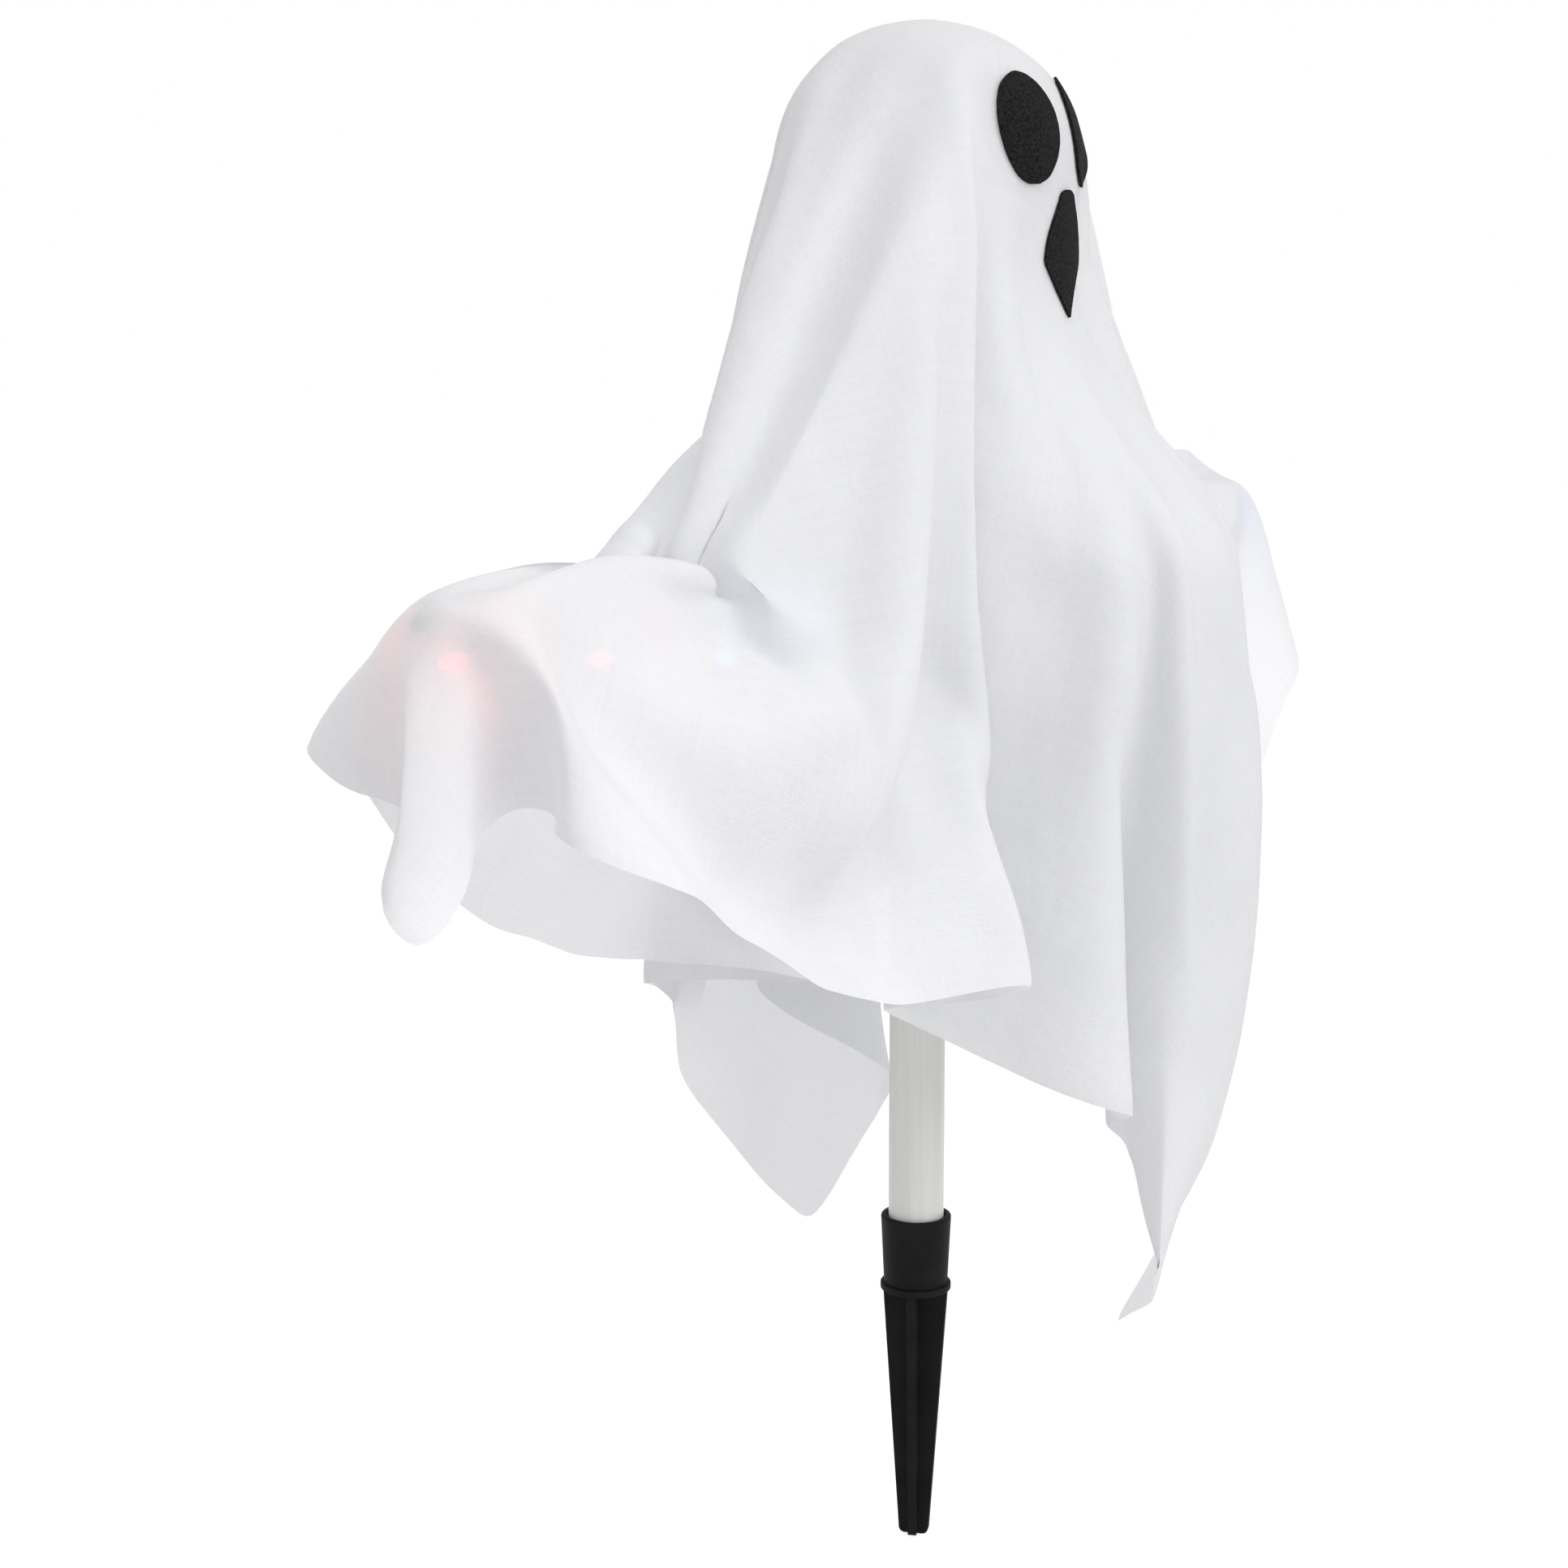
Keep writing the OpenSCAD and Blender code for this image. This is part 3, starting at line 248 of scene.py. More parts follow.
for socket, value in {"Color": pitted, "Roughness": rough, "Normal": relief.outputs[0]}.items():
    mould_grain.links.new(value, give[socket])


def place_group(tree, group, **inputs):
    """Puts a node group in a material with that material's own values."""
    return put(tree, "ShaderNodeGroup", {"node_tree": group}, **inputs).outputs


def surface(tree, output, **inputs):
    """Adds the Principled shader of a material and joins it to the output."""
    made = put(tree, "ShaderNodeBsdfPrincipled", **inputs)
    tree.links.new(made.outputs[0], output.inputs["Surface"])
    return made


def moulded(name, color, cloud_color, grain_scale, relief, roughness, **more):
    """A moulded plastic or rubber with its mould's grain."""
    material, tree, output = blank_material(name)
    grain = place_group(tree, mould_grain, Color=(*color, 1), Cloud_Color=(*cloud_color, 1),
                        Grain_Scale=grain_scale, Relief=relief, Roughness=roughness)
    surface(tree, output, Base_Color=grain["Color"], Roughness=grain["Roughness"],
            Normal=grain["Normal"], **more)
    return material


def dress(material, *nodes):
    """Gives CAD nodes their material."""
    for name in nodes:
        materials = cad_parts[name].data.materials
        materials.clear()
        materials.append(material)


black_stake = moulded("black_stake", (0.006, 0.006, 0.0065), (0.013, 0.013, 0.014), 1500.0, 0.5, 0.62,
                      Specular_IOR_Level=0.1)
dress(black_stake, "ground_stake")

# Pole. Two lengths of white PVC tube with a moulded coupler between them, pushed together dry. The tube
# comes out of its die with faint lines along it, and the plain white has a little warmth.
drawn_lines, have, give = new_group(
    "drawn_lines",
    {"Color": "Color", "Line Color": "Color", "Stretch": "Vector", "Relief": "Float", "Roughness": "Float"},
    {"Color": "Color", "Roughness": "Float", "Normal": "Vector"})
place = put(drawn_lines, "ShaderNodeVectorMath", {"operation": "MULTIPLY"}).outputs[0]
drawn_lines.links.new(object_place(drawn_lines), place.node.inputs[0])
drawn_lines.links.new(have["Stretch"], place.node.inputs[1])
lines = noise_at(drawn_lines, place, 900.0, 2.0, 0.6)
scuffs = noise_at(drawn_lines, object_place(drawn_lines), 70.0, 5.0, 0.65)
line_mask = put(drawn_lines, "ShaderNodeMapRange", Value=lines, From_Min=0.4, From_Max=0.75).outputs[0]
lined = shade(drawn_lines, calc(drawn_lines, "MULTIPLY", line_mask, 0.6), have["Color"], have["Line Color"])
rough = calc(drawn_lines, "MULTIPLY_ADD", calc(drawn_lines, "SUBTRACT", scuffs, 0.5), 0.35)
drawn_lines.links.new(have["Roughness"], rough.node.inputs[2])
relief = put(drawn_lines, "ShaderNodeBump", Strength=have["Relief"], Distance=0.0001, Height=lines)
for socket, value in {"Color": lined, "Roughness": rough, "Normal": relief.outputs[0]}.items():
    drawn_lines.links.new(value, give[socket])


def drawn(name, color, line_color, stretch, relief, roughness, **more):
    """A tube or wire that was drawn through a die, with lines along it."""
    material, tree, output = blank_material(name)
    along = place_group(tree, drawn_lines, Color=(*color, 1), Line_Color=(*line_color, 1), Stretch=stretch,
                        Relief=relief, Roughness=roughness)
    surface(tree, output, Base_Color=along["Color"], Roughness=along["Roughness"],
            Normal=along["Normal"], **more)
    return material


upright_lines = (1, 1, 0.012)
white_tube = drawn("white_tube", (0.80, 0.80, 0.76), (0.72, 0.72, 0.68), upright_lines, 0.3, 0.34,
                   Subsurface_Weight=0.12, Subsurface_Radius=(0.004, 0.004, 0.003), Subsurface_Scale=1.0)
dress(white_tube, "lower_pole", "upper_pole")
white_moulding = moulded("white_moulding", (0.80, 0.80, 0.78), (0.73, 0.73, 0.71), 900.0, 0.25, 0.42)
dress(white_moulding, "pole_coupler")

# Head. A ball of expanded polystyrene on a moulded sleeve that slips over the pole's end. The beads were
# blown and fused in a mould, so the skin is a net of flattened cells.
bead_scale = 330.0
foam, tree, output = blank_material("beaded_foam")
cells = put(tree, "ShaderNodeTexVoronoi", {"feature": "DISTANCE_TO_EDGE"}, Vector=object_place(tree),
            Scale=bead_scale)
bead_tone = put(tree, "ShaderNodeTexVoronoi", {"feature": "F1"}, Vector=object_place(tree), Scale=bead_scale)
crown = put(tree, "ShaderNodeMapRange", {"interpolation_type": "SMOOTHSTEP"}, Value=cells.outputs["Distance"],
            From_Min=0.0, From_Max=0.22)
bead_grey = put(tree, "ShaderNodeSeparateColor", Color=bead_tone.outputs["Color"]).outputs[0]
bead_white = shade(tree, bead_grey, (0.86, 0.86, 0.85, 1), (0.92, 0.92, 0.91, 1))
# Painted shade: the grooves between the beads are painted darker grey, for the shade that falls in them.
foam_color_seam_shaded = shade(tree, crown.outputs[0], (0.70, 0.70, 0.69, 1), bead_white)
foam_bump = put(tree, "ShaderNodeBump", Strength=0.45, Distance=0.0004, Height=crown.outputs[0])
foam_rough = put(tree, "ShaderNodeMapRange", Value=crown.outputs[0], To_Min=0.85, To_Max=0.55)
surface(tree, output, Base_Color=foam_color_seam_shaded, Roughness=foam_rough.outputs[0], Normal=foam_bump.outputs[0])
dress(foam, "head_ball")
dress(white_moulding, "neck_sleeve")

# Shoulders. A white moulded hub clamped round the pole, with a fork at each side. A knuckle turns in each
# fork on a zinc-plated screw and a lock nut, stiff enough to stay where it is put.
dress(white_moulding, "shoulder_hub", "right_knuckle", "left_knuckle")
plated_steel, tree, output = blank_material("plated_steel")
zinc = noise_at(tree, object_place(tree), 420.0, 4.0, 0.6)
zinc_tone = shade(tree, zinc, (0.50, 0.51, 0.54, 1), (0.70, 0.71, 0.72, 1))
zinc_rough = put(tree, "ShaderNodeMapRange", Value=zinc, To_Min=0.24, To_Max=0.46)
zinc_bump = put(tree, "ShaderNodeBump", Strength=0.15, Distance=0.0001, Height=zinc)
surface(tree, output, Base_Color=zinc_tone, Metallic=1.0, Roughness=zinc_rough.outputs[0],
        Normal=zinc_bump.outputs[0])
dress(plated_steel, "hub_screw", "pivot_screws", "pivot_nuts")

# Arms. A soft white vinyl tube over a steel wire core, pushed on the knuckle's spigot, with a round moulded
# cap for a hand, so that the sheet slides over it.
sideways_lines = (0.012, 1, 1)
soft_tube = drawn("soft_tube", (0.76, 0.76, 0.74), (0.68, 0.68, 0.66), sideways_lines, 0.2, 0.55)
bright_wire = drawn("bright_wire", (0.60, 0.61, 0.63), (0.42, 0.43, 0.45), sideways_lines, 0.3, 0.3,
                    Metallic=1.0)
for side in ("right", "left"):
    dress(soft_tube, side + "_arm_tube")
    dress(bright_wire, side + "_arm_core")
    dress(white_moulding, side + "_hand_cap")

# Battery case. A black moulded box clipped to the back of the pole, with a lid that slides up, three cells
# between plated contacts, a small control board, a slide switch underneath and a rubber grommet.
black_case = moulded("black_case", (0.018, 0.018, 0.019), (0.030, 0.030, 0.032), 1300.0, 0.5, 0.48)
dress(black_case, "battery_case", "battery_lid", "switch_body")
black_rubber = moulded("black_rubber", (0.015, 0.015, 0.015), (0.028, 0.028, 0.028), 700.0, 0.3, 0.75)
dress(black_rubber, "wire_grommet")
grey_slider = moulded("grey_slider", (0.36, 0.36, 0.36), (0.42, 0.42, 0.42), 1000.0, 0.35, 0.5)
dress(grey_slider, "switch_slider")
dress(plated_steel, "contact_plates", "contact_leaves")

cell_low, cell_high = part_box("cell_1")
cap_band = 0.0095
band_edge = 0.0002
cell_sleeve, tree, output = blank_material("cell_sleeve")
height = put(tree, "ShaderNodeSeparateXYZ", Vector=object_place(tree)).outputs["Z"]
sleeve_scuff = noise_at(tree, object_place(tree), 160.0, 4.0, 0.6)
above = put(tree, "ShaderNodeMapRange", Value=height, From_Min=cell_high.z - cap_band,
            From_Max=cell_high.z - cap_band + band_edge)
sleeve_tone = shade(tree, sleeve_scuff, (0.016, 0.020, 0.028, 1), (0.030, 0.036, 0.048, 1))
band_tone = shade(tree, sleeve_scuff, (0.42, 0.30, 0.16, 1), (0.50, 0.37, 0.21, 1))
sleeve_rough = put(tree, "ShaderNodeMapRange", Value=sleeve_scuff, To_Min=0.2, To_Max=0.4)
surface(tree, output, Base_Color=shade(tree, above.outputs[0], sleeve_tone, band_tone), Coat_Weight=0.3,
        Roughness=sleeve_rough.outputs[0])
dress(cell_sleeve, "cell_1", "cell_2", "cell_3")

green_board, tree, output = blank_material("green_board")
tracks = put(tree, "ShaderNodeTexBrick", {"offset": 0.5}, Vector=object_place(tree), Scale=260.0,
             Mortar_Size=0.06)
tracks.inputs["Color1"].default_value = (0.010, 0.070, 0.032, 1)
tracks.inputs["Color2"].default_value = (0.014, 0.090, 0.042, 1)
tracks.inputs["Mortar"].default_value = (0.030, 0.150, 0.075, 1)
board_scuff = noise_at(tree, object_place(tree), 300.0)
board_rough = put(tree, "ShaderNodeMapRange", Value=board_scuff, To_Min=0.22, To_Max=0.38)
surface(tree, output, Base_Color=tracks.outputs["Color"], Roughness=board_rough.outputs[0])
dress(green_board, "control_board")

# Lights. A pair of thin wires in a clear white jacket runs from the case to a junction under the hub, down
# the pole and out along each arm, with a moulded holder at every bulb and nylon ties round arm and pole.
pale_jacket = moulded("pale_jacket", (0.66, 0.67, 0.67), (0.74, 0.75, 0.75), 500.0, 0.15, 0.38,
                      Subsurface_Weight=0.2, Subsurface_Radius=(0.001, 0.001, 0.001), Subsurface_Scale=1.0)
white_holder = moulded("white_holder", (0.79, 0.79, 0.78), (0.71, 0.71, 0.70), 1100.0, 0.25, 0.45)
dress(pale_jacket, "pole_light_wire", "right_light_wire", "left_light_wire")
dress(white_holder, "light_junction", "pole_led_holders", "pole_ties")
for side in ("right", "left"):
    dress(white_holder, side + "_led_holders", side + "_ties")

wire_radius = 0.001
wire_clear = 0.00005
case_low, case_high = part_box("battery_case")
hole_low, hole_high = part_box("wire_grommet")
drop_low, drop_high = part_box("pole_light_wire")
block_low, block_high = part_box("light_junction")
feed_start = Vector((case_low.x, (hole_low.y + hole_high.y) / 2, (hole_low.z + hole_high.z) / 2))
feed_bends = [(4, 0, 0), (1, 0, 0), (-3, 0, 0), (-6, 0, 0), (-10, -6, -3), (-10, -22, -8), (0, -35, -15),
              (12, -40, -20), (21, -40, -22)]
feed_end = Vector((0, (drop_low.y + drop_high.y) / 2, drop_low.z - wire_clear))
lead_start = Vector((block_high.x + wire_clear, (block_low.y + block_high.y) / 2,
                     (block_low.z + block_high.z) / 2))
lead_bends = [(3, 0, 0), (11, -3, -3), (22, -1, -7), (34, 4, -8), (46, 9, -5), (55, 12, 3), (60, 14, 10)]
arm_rise = math.radians(6)
shoulder = Vector((0.02705, 0, 0.266))
arm_reach = 0.296


def on_arm(along, over=0.0):
    """The point at a distance along the left arm from its pivot, and over its axis."""
    return shoulder + Vector((along * math.cos(arm_rise) - over * math.sin(arm_rise), 0,
                              along * math.sin(arm_rise) + over * math.cos(arm_rise)))


def wire_mesh(name, points):
    """A round wire along a smooth line through the points."""
    curve = bpy.data.curves.new(name, "CURVE")
    curve.dimensions = "3D"
    curve.bevel_depth = wire_radius
    curve.bevel_resolution = 3
    curve.resolution_u = 8
    curve.use_fill_caps = True
    spline = curve.splines.new("BEZIER")
    spline.bezier_points.add(len(points) - 1)
    for bend, point in zip(spline.bezier_points, points):
        bend.co = point
        bend.handle_left_type = bend.handle_right_type = "AUTO"
    route = bpy.data.objects.new(name, curve)
    scene.collection.objects.link(route)
    mesh = bpy.data.meshes.new_from_object(route.evaluated_get(bpy.context.evaluated_depsgraph_get()))
    mesh.name = name
    bpy.data.objects.remove(route)
    bpy.data.curves.remove(curve)
    mesh.shade_smooth()
    mesh.materials.clear()
    mesh.materials.append(pale_jacket)
    return mesh


feed_line = [feed_start + Vector(p) / 1000 for p in feed_bends]
feed_line += [feed_end - Vector((0, 0, drop)) for drop in (0.006, 0.003, 0)]
feed = new_piece("feed_wire_run", wire_mesh("feed_wire_run", feed_line))
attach(feed, "ghost")
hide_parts("feed_wire")

arm_wire_start = 0.046
arm_wire_over = -0.0058
straight_in = 0.004
lead_line = [lead_start] + [lead_start + Vector(p) / 1000 for p in lead_bends]
lead_line += [on_arm(arm_wire_start - straight_in, arm_wire_over), on_arm(arm_wire_start, arm_wire_over)]
for side, across in (("right", -1), ("left", 1)):
    line = [Vector((across * p.x, p.y, p.z)) for p in lead_line]
    lead = new_piece(side + "_lead_run", wire_mesh(side + "_lead_run", line))
    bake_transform(lead)
    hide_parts(side + "_shoulder_lead")


# Bulbs. A clear epoxy lens moulded over the chip, pressed in its holder. Each is lit in its own colour, most
# strongly round the chip in the middle.
def lit_lens(name, node, tint, glow, strength):
    """The clear lens of a lit bulb, brightest round its chip."""
    low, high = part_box(node)
    middle = (low + high) / 2
    material, tree, output = blank_material(name)
    centred = put(tree, "ShaderNodeMapping", Vector=object_place(tree), Location=-middle)
    away = put(tree, "ShaderNodeVectorMath", {"operation": "LENGTH"}, Vector=centred.outputs[0])
    core = put(tree, "ShaderNodeMapRange", Value=away.outputs["Value"], From_Min=0.0022, From_Max=0.0046,
               To_Min=1.0, To_Max=0.45)
    swirl = noise_at(tree, object_place(tree), 600.0)
    lens_rough = put(tree, "ShaderNodeMapRange", Value=swirl, To_Min=0.06, To_Max=0.16)
    lit = shade(tree, core.outputs[0], (0, 0, 0, 1), (*glow, 1))
    body = shade(tree, swirl, (*tint, 1), (1, 1, 1, 1))
    body.node.inputs[0].default_value = 0.3
    surface(tree, output, Base_Color=body, Roughness=lens_rough.outputs[0], IOR=1.5, Transmission_Weight=0.7,
            Emission_Color=lit, Emission_Strength=strength)
    dress(material, node)


red_light = ((1.0, 0.40, 0.38), (1.0, 0.04, 0.05))
pink_light = ((1.0, 0.60, 0.72), (1.0, 0.22, 0.38))
blue_light = ((0.50, 0.60, 1.0), (0.08, 0.2, 1.0))
green_light = ((0.50, 0.95, 0.55), (0.12, 0.85, 0.25))
amber_light = ((1.0, 0.78, 0.42), (1.0, 0.52, 0.14))
teal_light = ((0.45, 0.92, 0.88), (0.12, 0.80, 0.72))
for node, (tint, glow), power in (
        ("right_led_1", blue_light, 6.0), ("right_led_2", pink_light, 2.5), ("right_led_3", red_light, 4.5),
        ("left_led_1", green_light, 2.0), ("left_led_2", amber_light, 3.0), ("left_led_3", blue_light, 4.0),
        ("pole_led_1", teal_light, 3.0), ("pole_led_2", amber_light, 1.5)):
    lit_lens(node + "_lens", node, tint, glow, power)

# Sheet. One square of sheer white voile, 800 mm a side with raw cut edges, thrown over the head and the
# arms with a diagonal along the arms. It is caught at the crown and along each arm, and hangs free below.
sheet_side = 0.8
sheet_half = sheet_side / math.sqrt(2)
thread_cells = 84
fall_frames = 90
head_radius = 0.0508
head_centre = 0.441
cover_radius = head_radius + 0.002
over_arm = 0.0095
sleeve_turn = 0.004
head_wrap = math.radians(60)
shoulder_fold = 0.16
tip_path = 0.455
hand_centre = arm_reach - 0.0056
corner_hang = math.radians(25)
hand_wrap = math.pi / 2 - corner_hang - arm_rise
corner_way = Vector((math.sin(corner_hang), 0, -math.cos(corner_hang)))
corner_spare = 0.25


def ridge_line():
    """The fold over head, shoulder, arm and hand: its points, the length to each, and three marks on it."""
    line = [Vector((cover_radius * math.sin(head_wrap * i / 20), 0,
                    head_centre + cover_radius * math.cos(head_wrap * i / 20))) for i in range(21)]
    leave = line[-1]
    fold = on_arm(shoulder_fold, over_arm + 4 * sleeve_turn)
    slope = (fold - leave).length
    spare = tip_path - cover_radius * head_wrap - slope - 2 * math.pi * sleeve_turn
    pleat = (spare - hand_centre - over_arm * hand_wrap + shoulder_fold) / 2
    line += [leave.lerp(fold, i / 40) for i in range(1, 41)]
    marks = {"fold": len(line) - 1}
    for i in range(1, 13):
        t = math.pi * i / 12
        line.append(on_arm(shoulder_fold + sleeve_turn * math.sin(t),
                           over_arm + 3 * sleeve_turn + sleeve_turn * math.cos(t)))
    line += [on_arm(shoulder_fold - pleat * i / 10, over_arm + 2 * sleeve_turn) for i in range(1, 11)]
    for i in range(1, 13):
        t = math.pi * i / 12
        line.append(on_arm(shoulder_fold - pleat - sleeve_turn * math.sin(t),
                           over_arm + sleeve_turn + sleeve_turn * math.cos(t)))
    marks["sleeve"] = len(line) - 1
    first = shoulder_fold - pleat
    line += [on_arm(first + (hand_centre - first) * i / 40, over_arm) for i in range(1, 41)]
    line += [on_arm(hand_centre + over_arm * math.sin(hand_wrap * i / 10),
                    over_arm * math.cos(hand_wrap * i / 10)) for i in range(1, 11)]
    marks["hand"] = len(line) - 1
    line += [line[-1] + corner_way * corner_spare * i / 20 for i in range(1, 21)]
    length = [0.0]
    for i in range(1, len(line)):
        length.append(length[-1] + (line[i] - line[i - 1]).length)
    return line, length, {name: length[i] for name, i in marks.items()}


ridge, ridge_length, ridge_mark = ridge_line()


def ridge_point(path):
    """The point of the ridge at a length from the crown."""
    i = min(max(bisect.bisect_right(ridge_length, path), 1), len(ridge) - 1)
    step = max(ridge_length[i] - ridge_length[i - 1], 1e-9)
    return ridge[i - 1].lerp(ridge[i], (path - ridge_length[i - 1]) / step)


def under_sheet(name, bm):
    """A stand-in for what the falling sheet lands on, in a fixed order so that each fall is the same."""
    corners = [[tuple(round(c, 6) for c in v.co) for v in face.verts] for face in bm.faces]
    points = sorted({point for face in corners for point in face})
    number = {point: i for i, point in enumerate(points)}
    faces = []
    for face in corners:
        ring = [number[point] for point in face]
        first = ring.index(min(ring))
        faces.append(ring[first:] + ring[:first])
    bm.free()
    settled = bmesh.new()
    verts = [settled.verts.new(point) for point in points]
    for ring in sorted(faces):
        settled.faces.new([verts[i] for i in ring])
    made = new_piece(name, mesh_of(settled, name))
    made.modifiers.new("landing", "COLLISION")
    made.collision.thickness_outer = 0.0012
    made.collision.thickness_inner = 0.004
    made.collision.cloth_friction = 30
    return made


landings = []
bm = bmesh.new()
bmesh.ops.create_uvsphere(bm, u_segments=48, v_segments=28, radius=head_radius)
bmesh.ops.translate(bm, verts=bm.verts, vec=(0, 0, head_centre))
landings.append(under_sheet("head_landing", bm))
pole_clear = 0.021
pole_top = 0.42
bm = bmesh.new()
bmesh.ops.create_cone(bm, segments=20, radius1=pole_clear, radius2=pole_clear, depth=pole_top, cap_ends=True)
bmesh.ops.translate(bm, verts=bm.verts, vec=(0, 0, pole_top / 2))
landings.append(under_sheet("pole_landing", bm))
arm_clear = 0.0085
for across in (-1, 1):
    bm = bmesh.new()
    bmesh.ops.create_uvsphere(bm, u_segments=16, v_segments=12, radius=arm_clear,
                              matrix=Matrix.Rotation(math.pi / 2, 4, "Y"))
    for v in bm.verts:
        outer = hand_centre if v.co.x > -1e-6 else 0.0
        at = on_arm(outer + v.co.x, v.co.z)
        v.co = (across * at.x, v.co.y, at.z)
    if across < 0:
        bmesh.ops.reverse_faces(bm, faces=bm.faces)
    landings.append(under_sheet("arm_landing", bm))
case_room = (0.054, 0.043, 0.074)
case_middle = (0, 0.013, 0.195)
bm = bmesh.new()
bmesh.ops.create_cube(bm, size=1)
bmesh.ops.scale(bm, verts=bm.verts, vec=case_room)
bmesh.ops.translate(bm, verts=bm.verts, vec=case_middle)
landings.append(under_sheet("case_landing", bm))
body_round = 0.09
body_narrow = 0.8
body_forward = -0.012
body_rim = [(0, 0.47), (0.03, 0.466), (0.0495, 0.446), (0.056, 0.42), (0.067, 0.385),
            (body_round * 0.92, 0.34), (body_round, 0.3), (body_round * 0.98, 0.26),
            (body_round * 0.85, 0.22), (body_round * 0.6, 0.2), (0, 0.195)]
bm = bmesh.new()
rim_verts = [bm.verts.new((out, 0, up)) for out, up in body_rim]
rim_edges = [bm.edges.new(pair) for pair in zip(rim_verts, rim_verts[1:])]
bmesh.ops.spin(bm, geom=rim_verts + rim_edges, axis=(0, 0, 1), angle=2 * math.pi, steps=40, use_merge=True)
bmesh.ops.remove_doubles(bm, verts=bm.verts, dist=0.00001)
bmesh.ops.recalc_face_normals(bm, faces=bm.faces)
bmesh.ops.scale(bm, verts=bm.verts, vec=(body_narrow, 1, 1))
bmesh.ops.translate(bm, verts=bm.verts, vec=(0, body_forward, 0))
landings.append(under_sheet("body_landing", bm))
board_half = 0.45
board_height = -0.15
board_open = 0.62
front_shut, back_shut = 0.122, 0.092
board_starts, board_stops = 20, 60
for way, board_shut in ((-1, front_shut), (1, back_shut)):
    bm = bmesh.new()
    bmesh.ops.create_grid(bm, x_segments=10, y_segments=10, size=board_half)
    bmesh.ops.rotate(bm, verts=bm.verts, matrix=Matrix.Rotation(way * math.pi / 2, 3, "X"))
    board = under_sheet("gathering_board", bm)
    board.collision.cloth_friction = 2
    for moment, gap in ((board_starts, board_open), (board_stops, board_shut)):
        board.location = (0, way * gap, board_height)
        board.keyframe_insert("location", frame=moment)
    landings.append(board)

half_cells = thread_cells // 2
cell = sheet_half / half_cells
bm = bmesh.new()
threads = bm.loops.layers.uv.new("threads")
knots = {}
for i in range(-half_cells, half_cells + 1):
    for j in range(abs(i) - half_cells, half_cells - abs(i) + 1):
        knots[i, j] = bm.verts.new((i * cell, j * cell, 0))
for i in range(-half_cells, half_cells):
    for j in range(-half_cells, half_cells):
        ring = [knots[at] for at in ((i, j), (i + 1, j), (i + 1, j + 1), (i, j + 1)) if at in knots]
        if len(ring) > 2:
            for loop in bm.faces.new(ring).loops:
                x, y = loop.vert.co.xy
                loop[threads].uv = ((x + y) / math.sqrt(2), (x - y) / math.sqrt(2))
crown_hold = 0.016
forward = 0.006
unevenness = 0.0012
uneven_share = 25
ridge_width = 0.0005
path_slack = 0.0001
fold_reach = 0.6 * cell
noise.seed_set(6)
held = []
bm.verts.index_update()
for v in bm.verts:
    flat = v.co.copy()
    path, off = abs(flat.x), abs(flat.y)
    on_ridge = off < ridge_width
    sleeved = on_ridge and ridge_mark["sleeve"] <= path <= ridge_mark["hand"] + path_slack
    folded = on_ridge and abs(path - ridge_mark["fold"]) < fold_reach
    hold = math.hypot(path, off) < crown_hold or sleeved or folded
    at = ridge_point(path)
    v.co = Vector((math.copysign(at.x, flat.x), flat.y, at.z))
    if hold:
        held.append(v.index)
    else:
        v.co += unevenness * noise.noise_vector(flat * uneven_share) - Vector((0, forward, 0))
falling = new_piece("falling_sheet", mesh_of(bm, "falling_sheet"))
falling.vertex_groups.new(name="held").add(held, 1.0, "REPLACE")
cloth = falling.modifiers.new("cloth", "CLOTH")
cloth.settings.quality = 8
cloth.settings.mass = 0.15
cloth.settings.tension_stiffness = 40
cloth.settings.compression_stiffness = 40
cloth.settings.shear_stiffness = 10
cloth.settings.bending_stiffness = 1
cloth.settings.tension_damping = 10
cloth.settings.compression_damping = 10
cloth.settings.shear_damping = 8
cloth.settings.bending_damping = 1
cloth.settings.air_damping = 2
cloth.settings.vertex_group_mass = "held"
cloth.settings.pin_stiffness = 1
cloth.collision_settings.collision_quality = 3
cloth.collision_settings.distance_min = 0.0015
cloth.collision_settings.use_self_collision = True
cloth.collision_settings.self_distance_min = 0.003
cloth.collision_settings.self_friction = 5
cloth.point_cache.frame_end = fall_frames
for moment in range(1, fall_frames + 1):
    scene.frame_set(moment)
fallen = bpy.data.meshes.new_from_object(falling.evaluated_get(bpy.context.evaluated_depsgraph_get()))
for made in landings + [falling]:
    spent = made.data
    bpy.data.objects.remove(made)
    bpy.data.meshes.remove(spent)
scene.frame_set(1)

bm = bmesh.new()
bm.from_mesh(fallen)
bpy.data.meshes.remove(fallen)
inner = [v for v in bm.verts if not v.is_boundary]
bmesh.ops.smooth_vert(bm, verts=inner, factor=0.35, use_axis_x=True, use_axis_y=True, use_axis_z=True)
draped = new_piece("draped_sheet", mesh_of(bm, "draped_sheet"))
rounding = draped.modifiers.new("rounding", "SUBSURF")
rounding.levels = rounding.render_levels = 2
fine = bpy.data.meshes.new_from_object(draped.evaluated_get(bpy.context.evaluated_depsgraph_get()))
bpy.data.objects.remove(draped)
flat_place = {}
for loop, mark in zip(fine.loops, fine.uv_layers["threads"].data):
    flat_place[loop.vertex_index] = Vector((mark.uv.x + mark.uv.y, mark.uv.x - mark.uv.y)) / math.sqrt(2)
fold_depth = 0.0065
fold_share = 9.0
fold_drift = 3
fold_start, fold_growth = 0.09, 0.2
out_from_cloth = [v.normal.copy() for v in fine.vertices]
for v, out in zip(fine.vertices, out_from_cloth):
    path = flat_place[v.index].length
    grown = min(max((path - fold_start) / fold_growth, 0), 1)
    if grown > 0:
        way = flat_place[v.index] / path
        fold = noise.noise(Vector((way.x * fold_share, way.y * fold_share, path * fold_drift)))
        v.co += out * fold_depth * grown * fold
over_head = head_radius + 0.0014
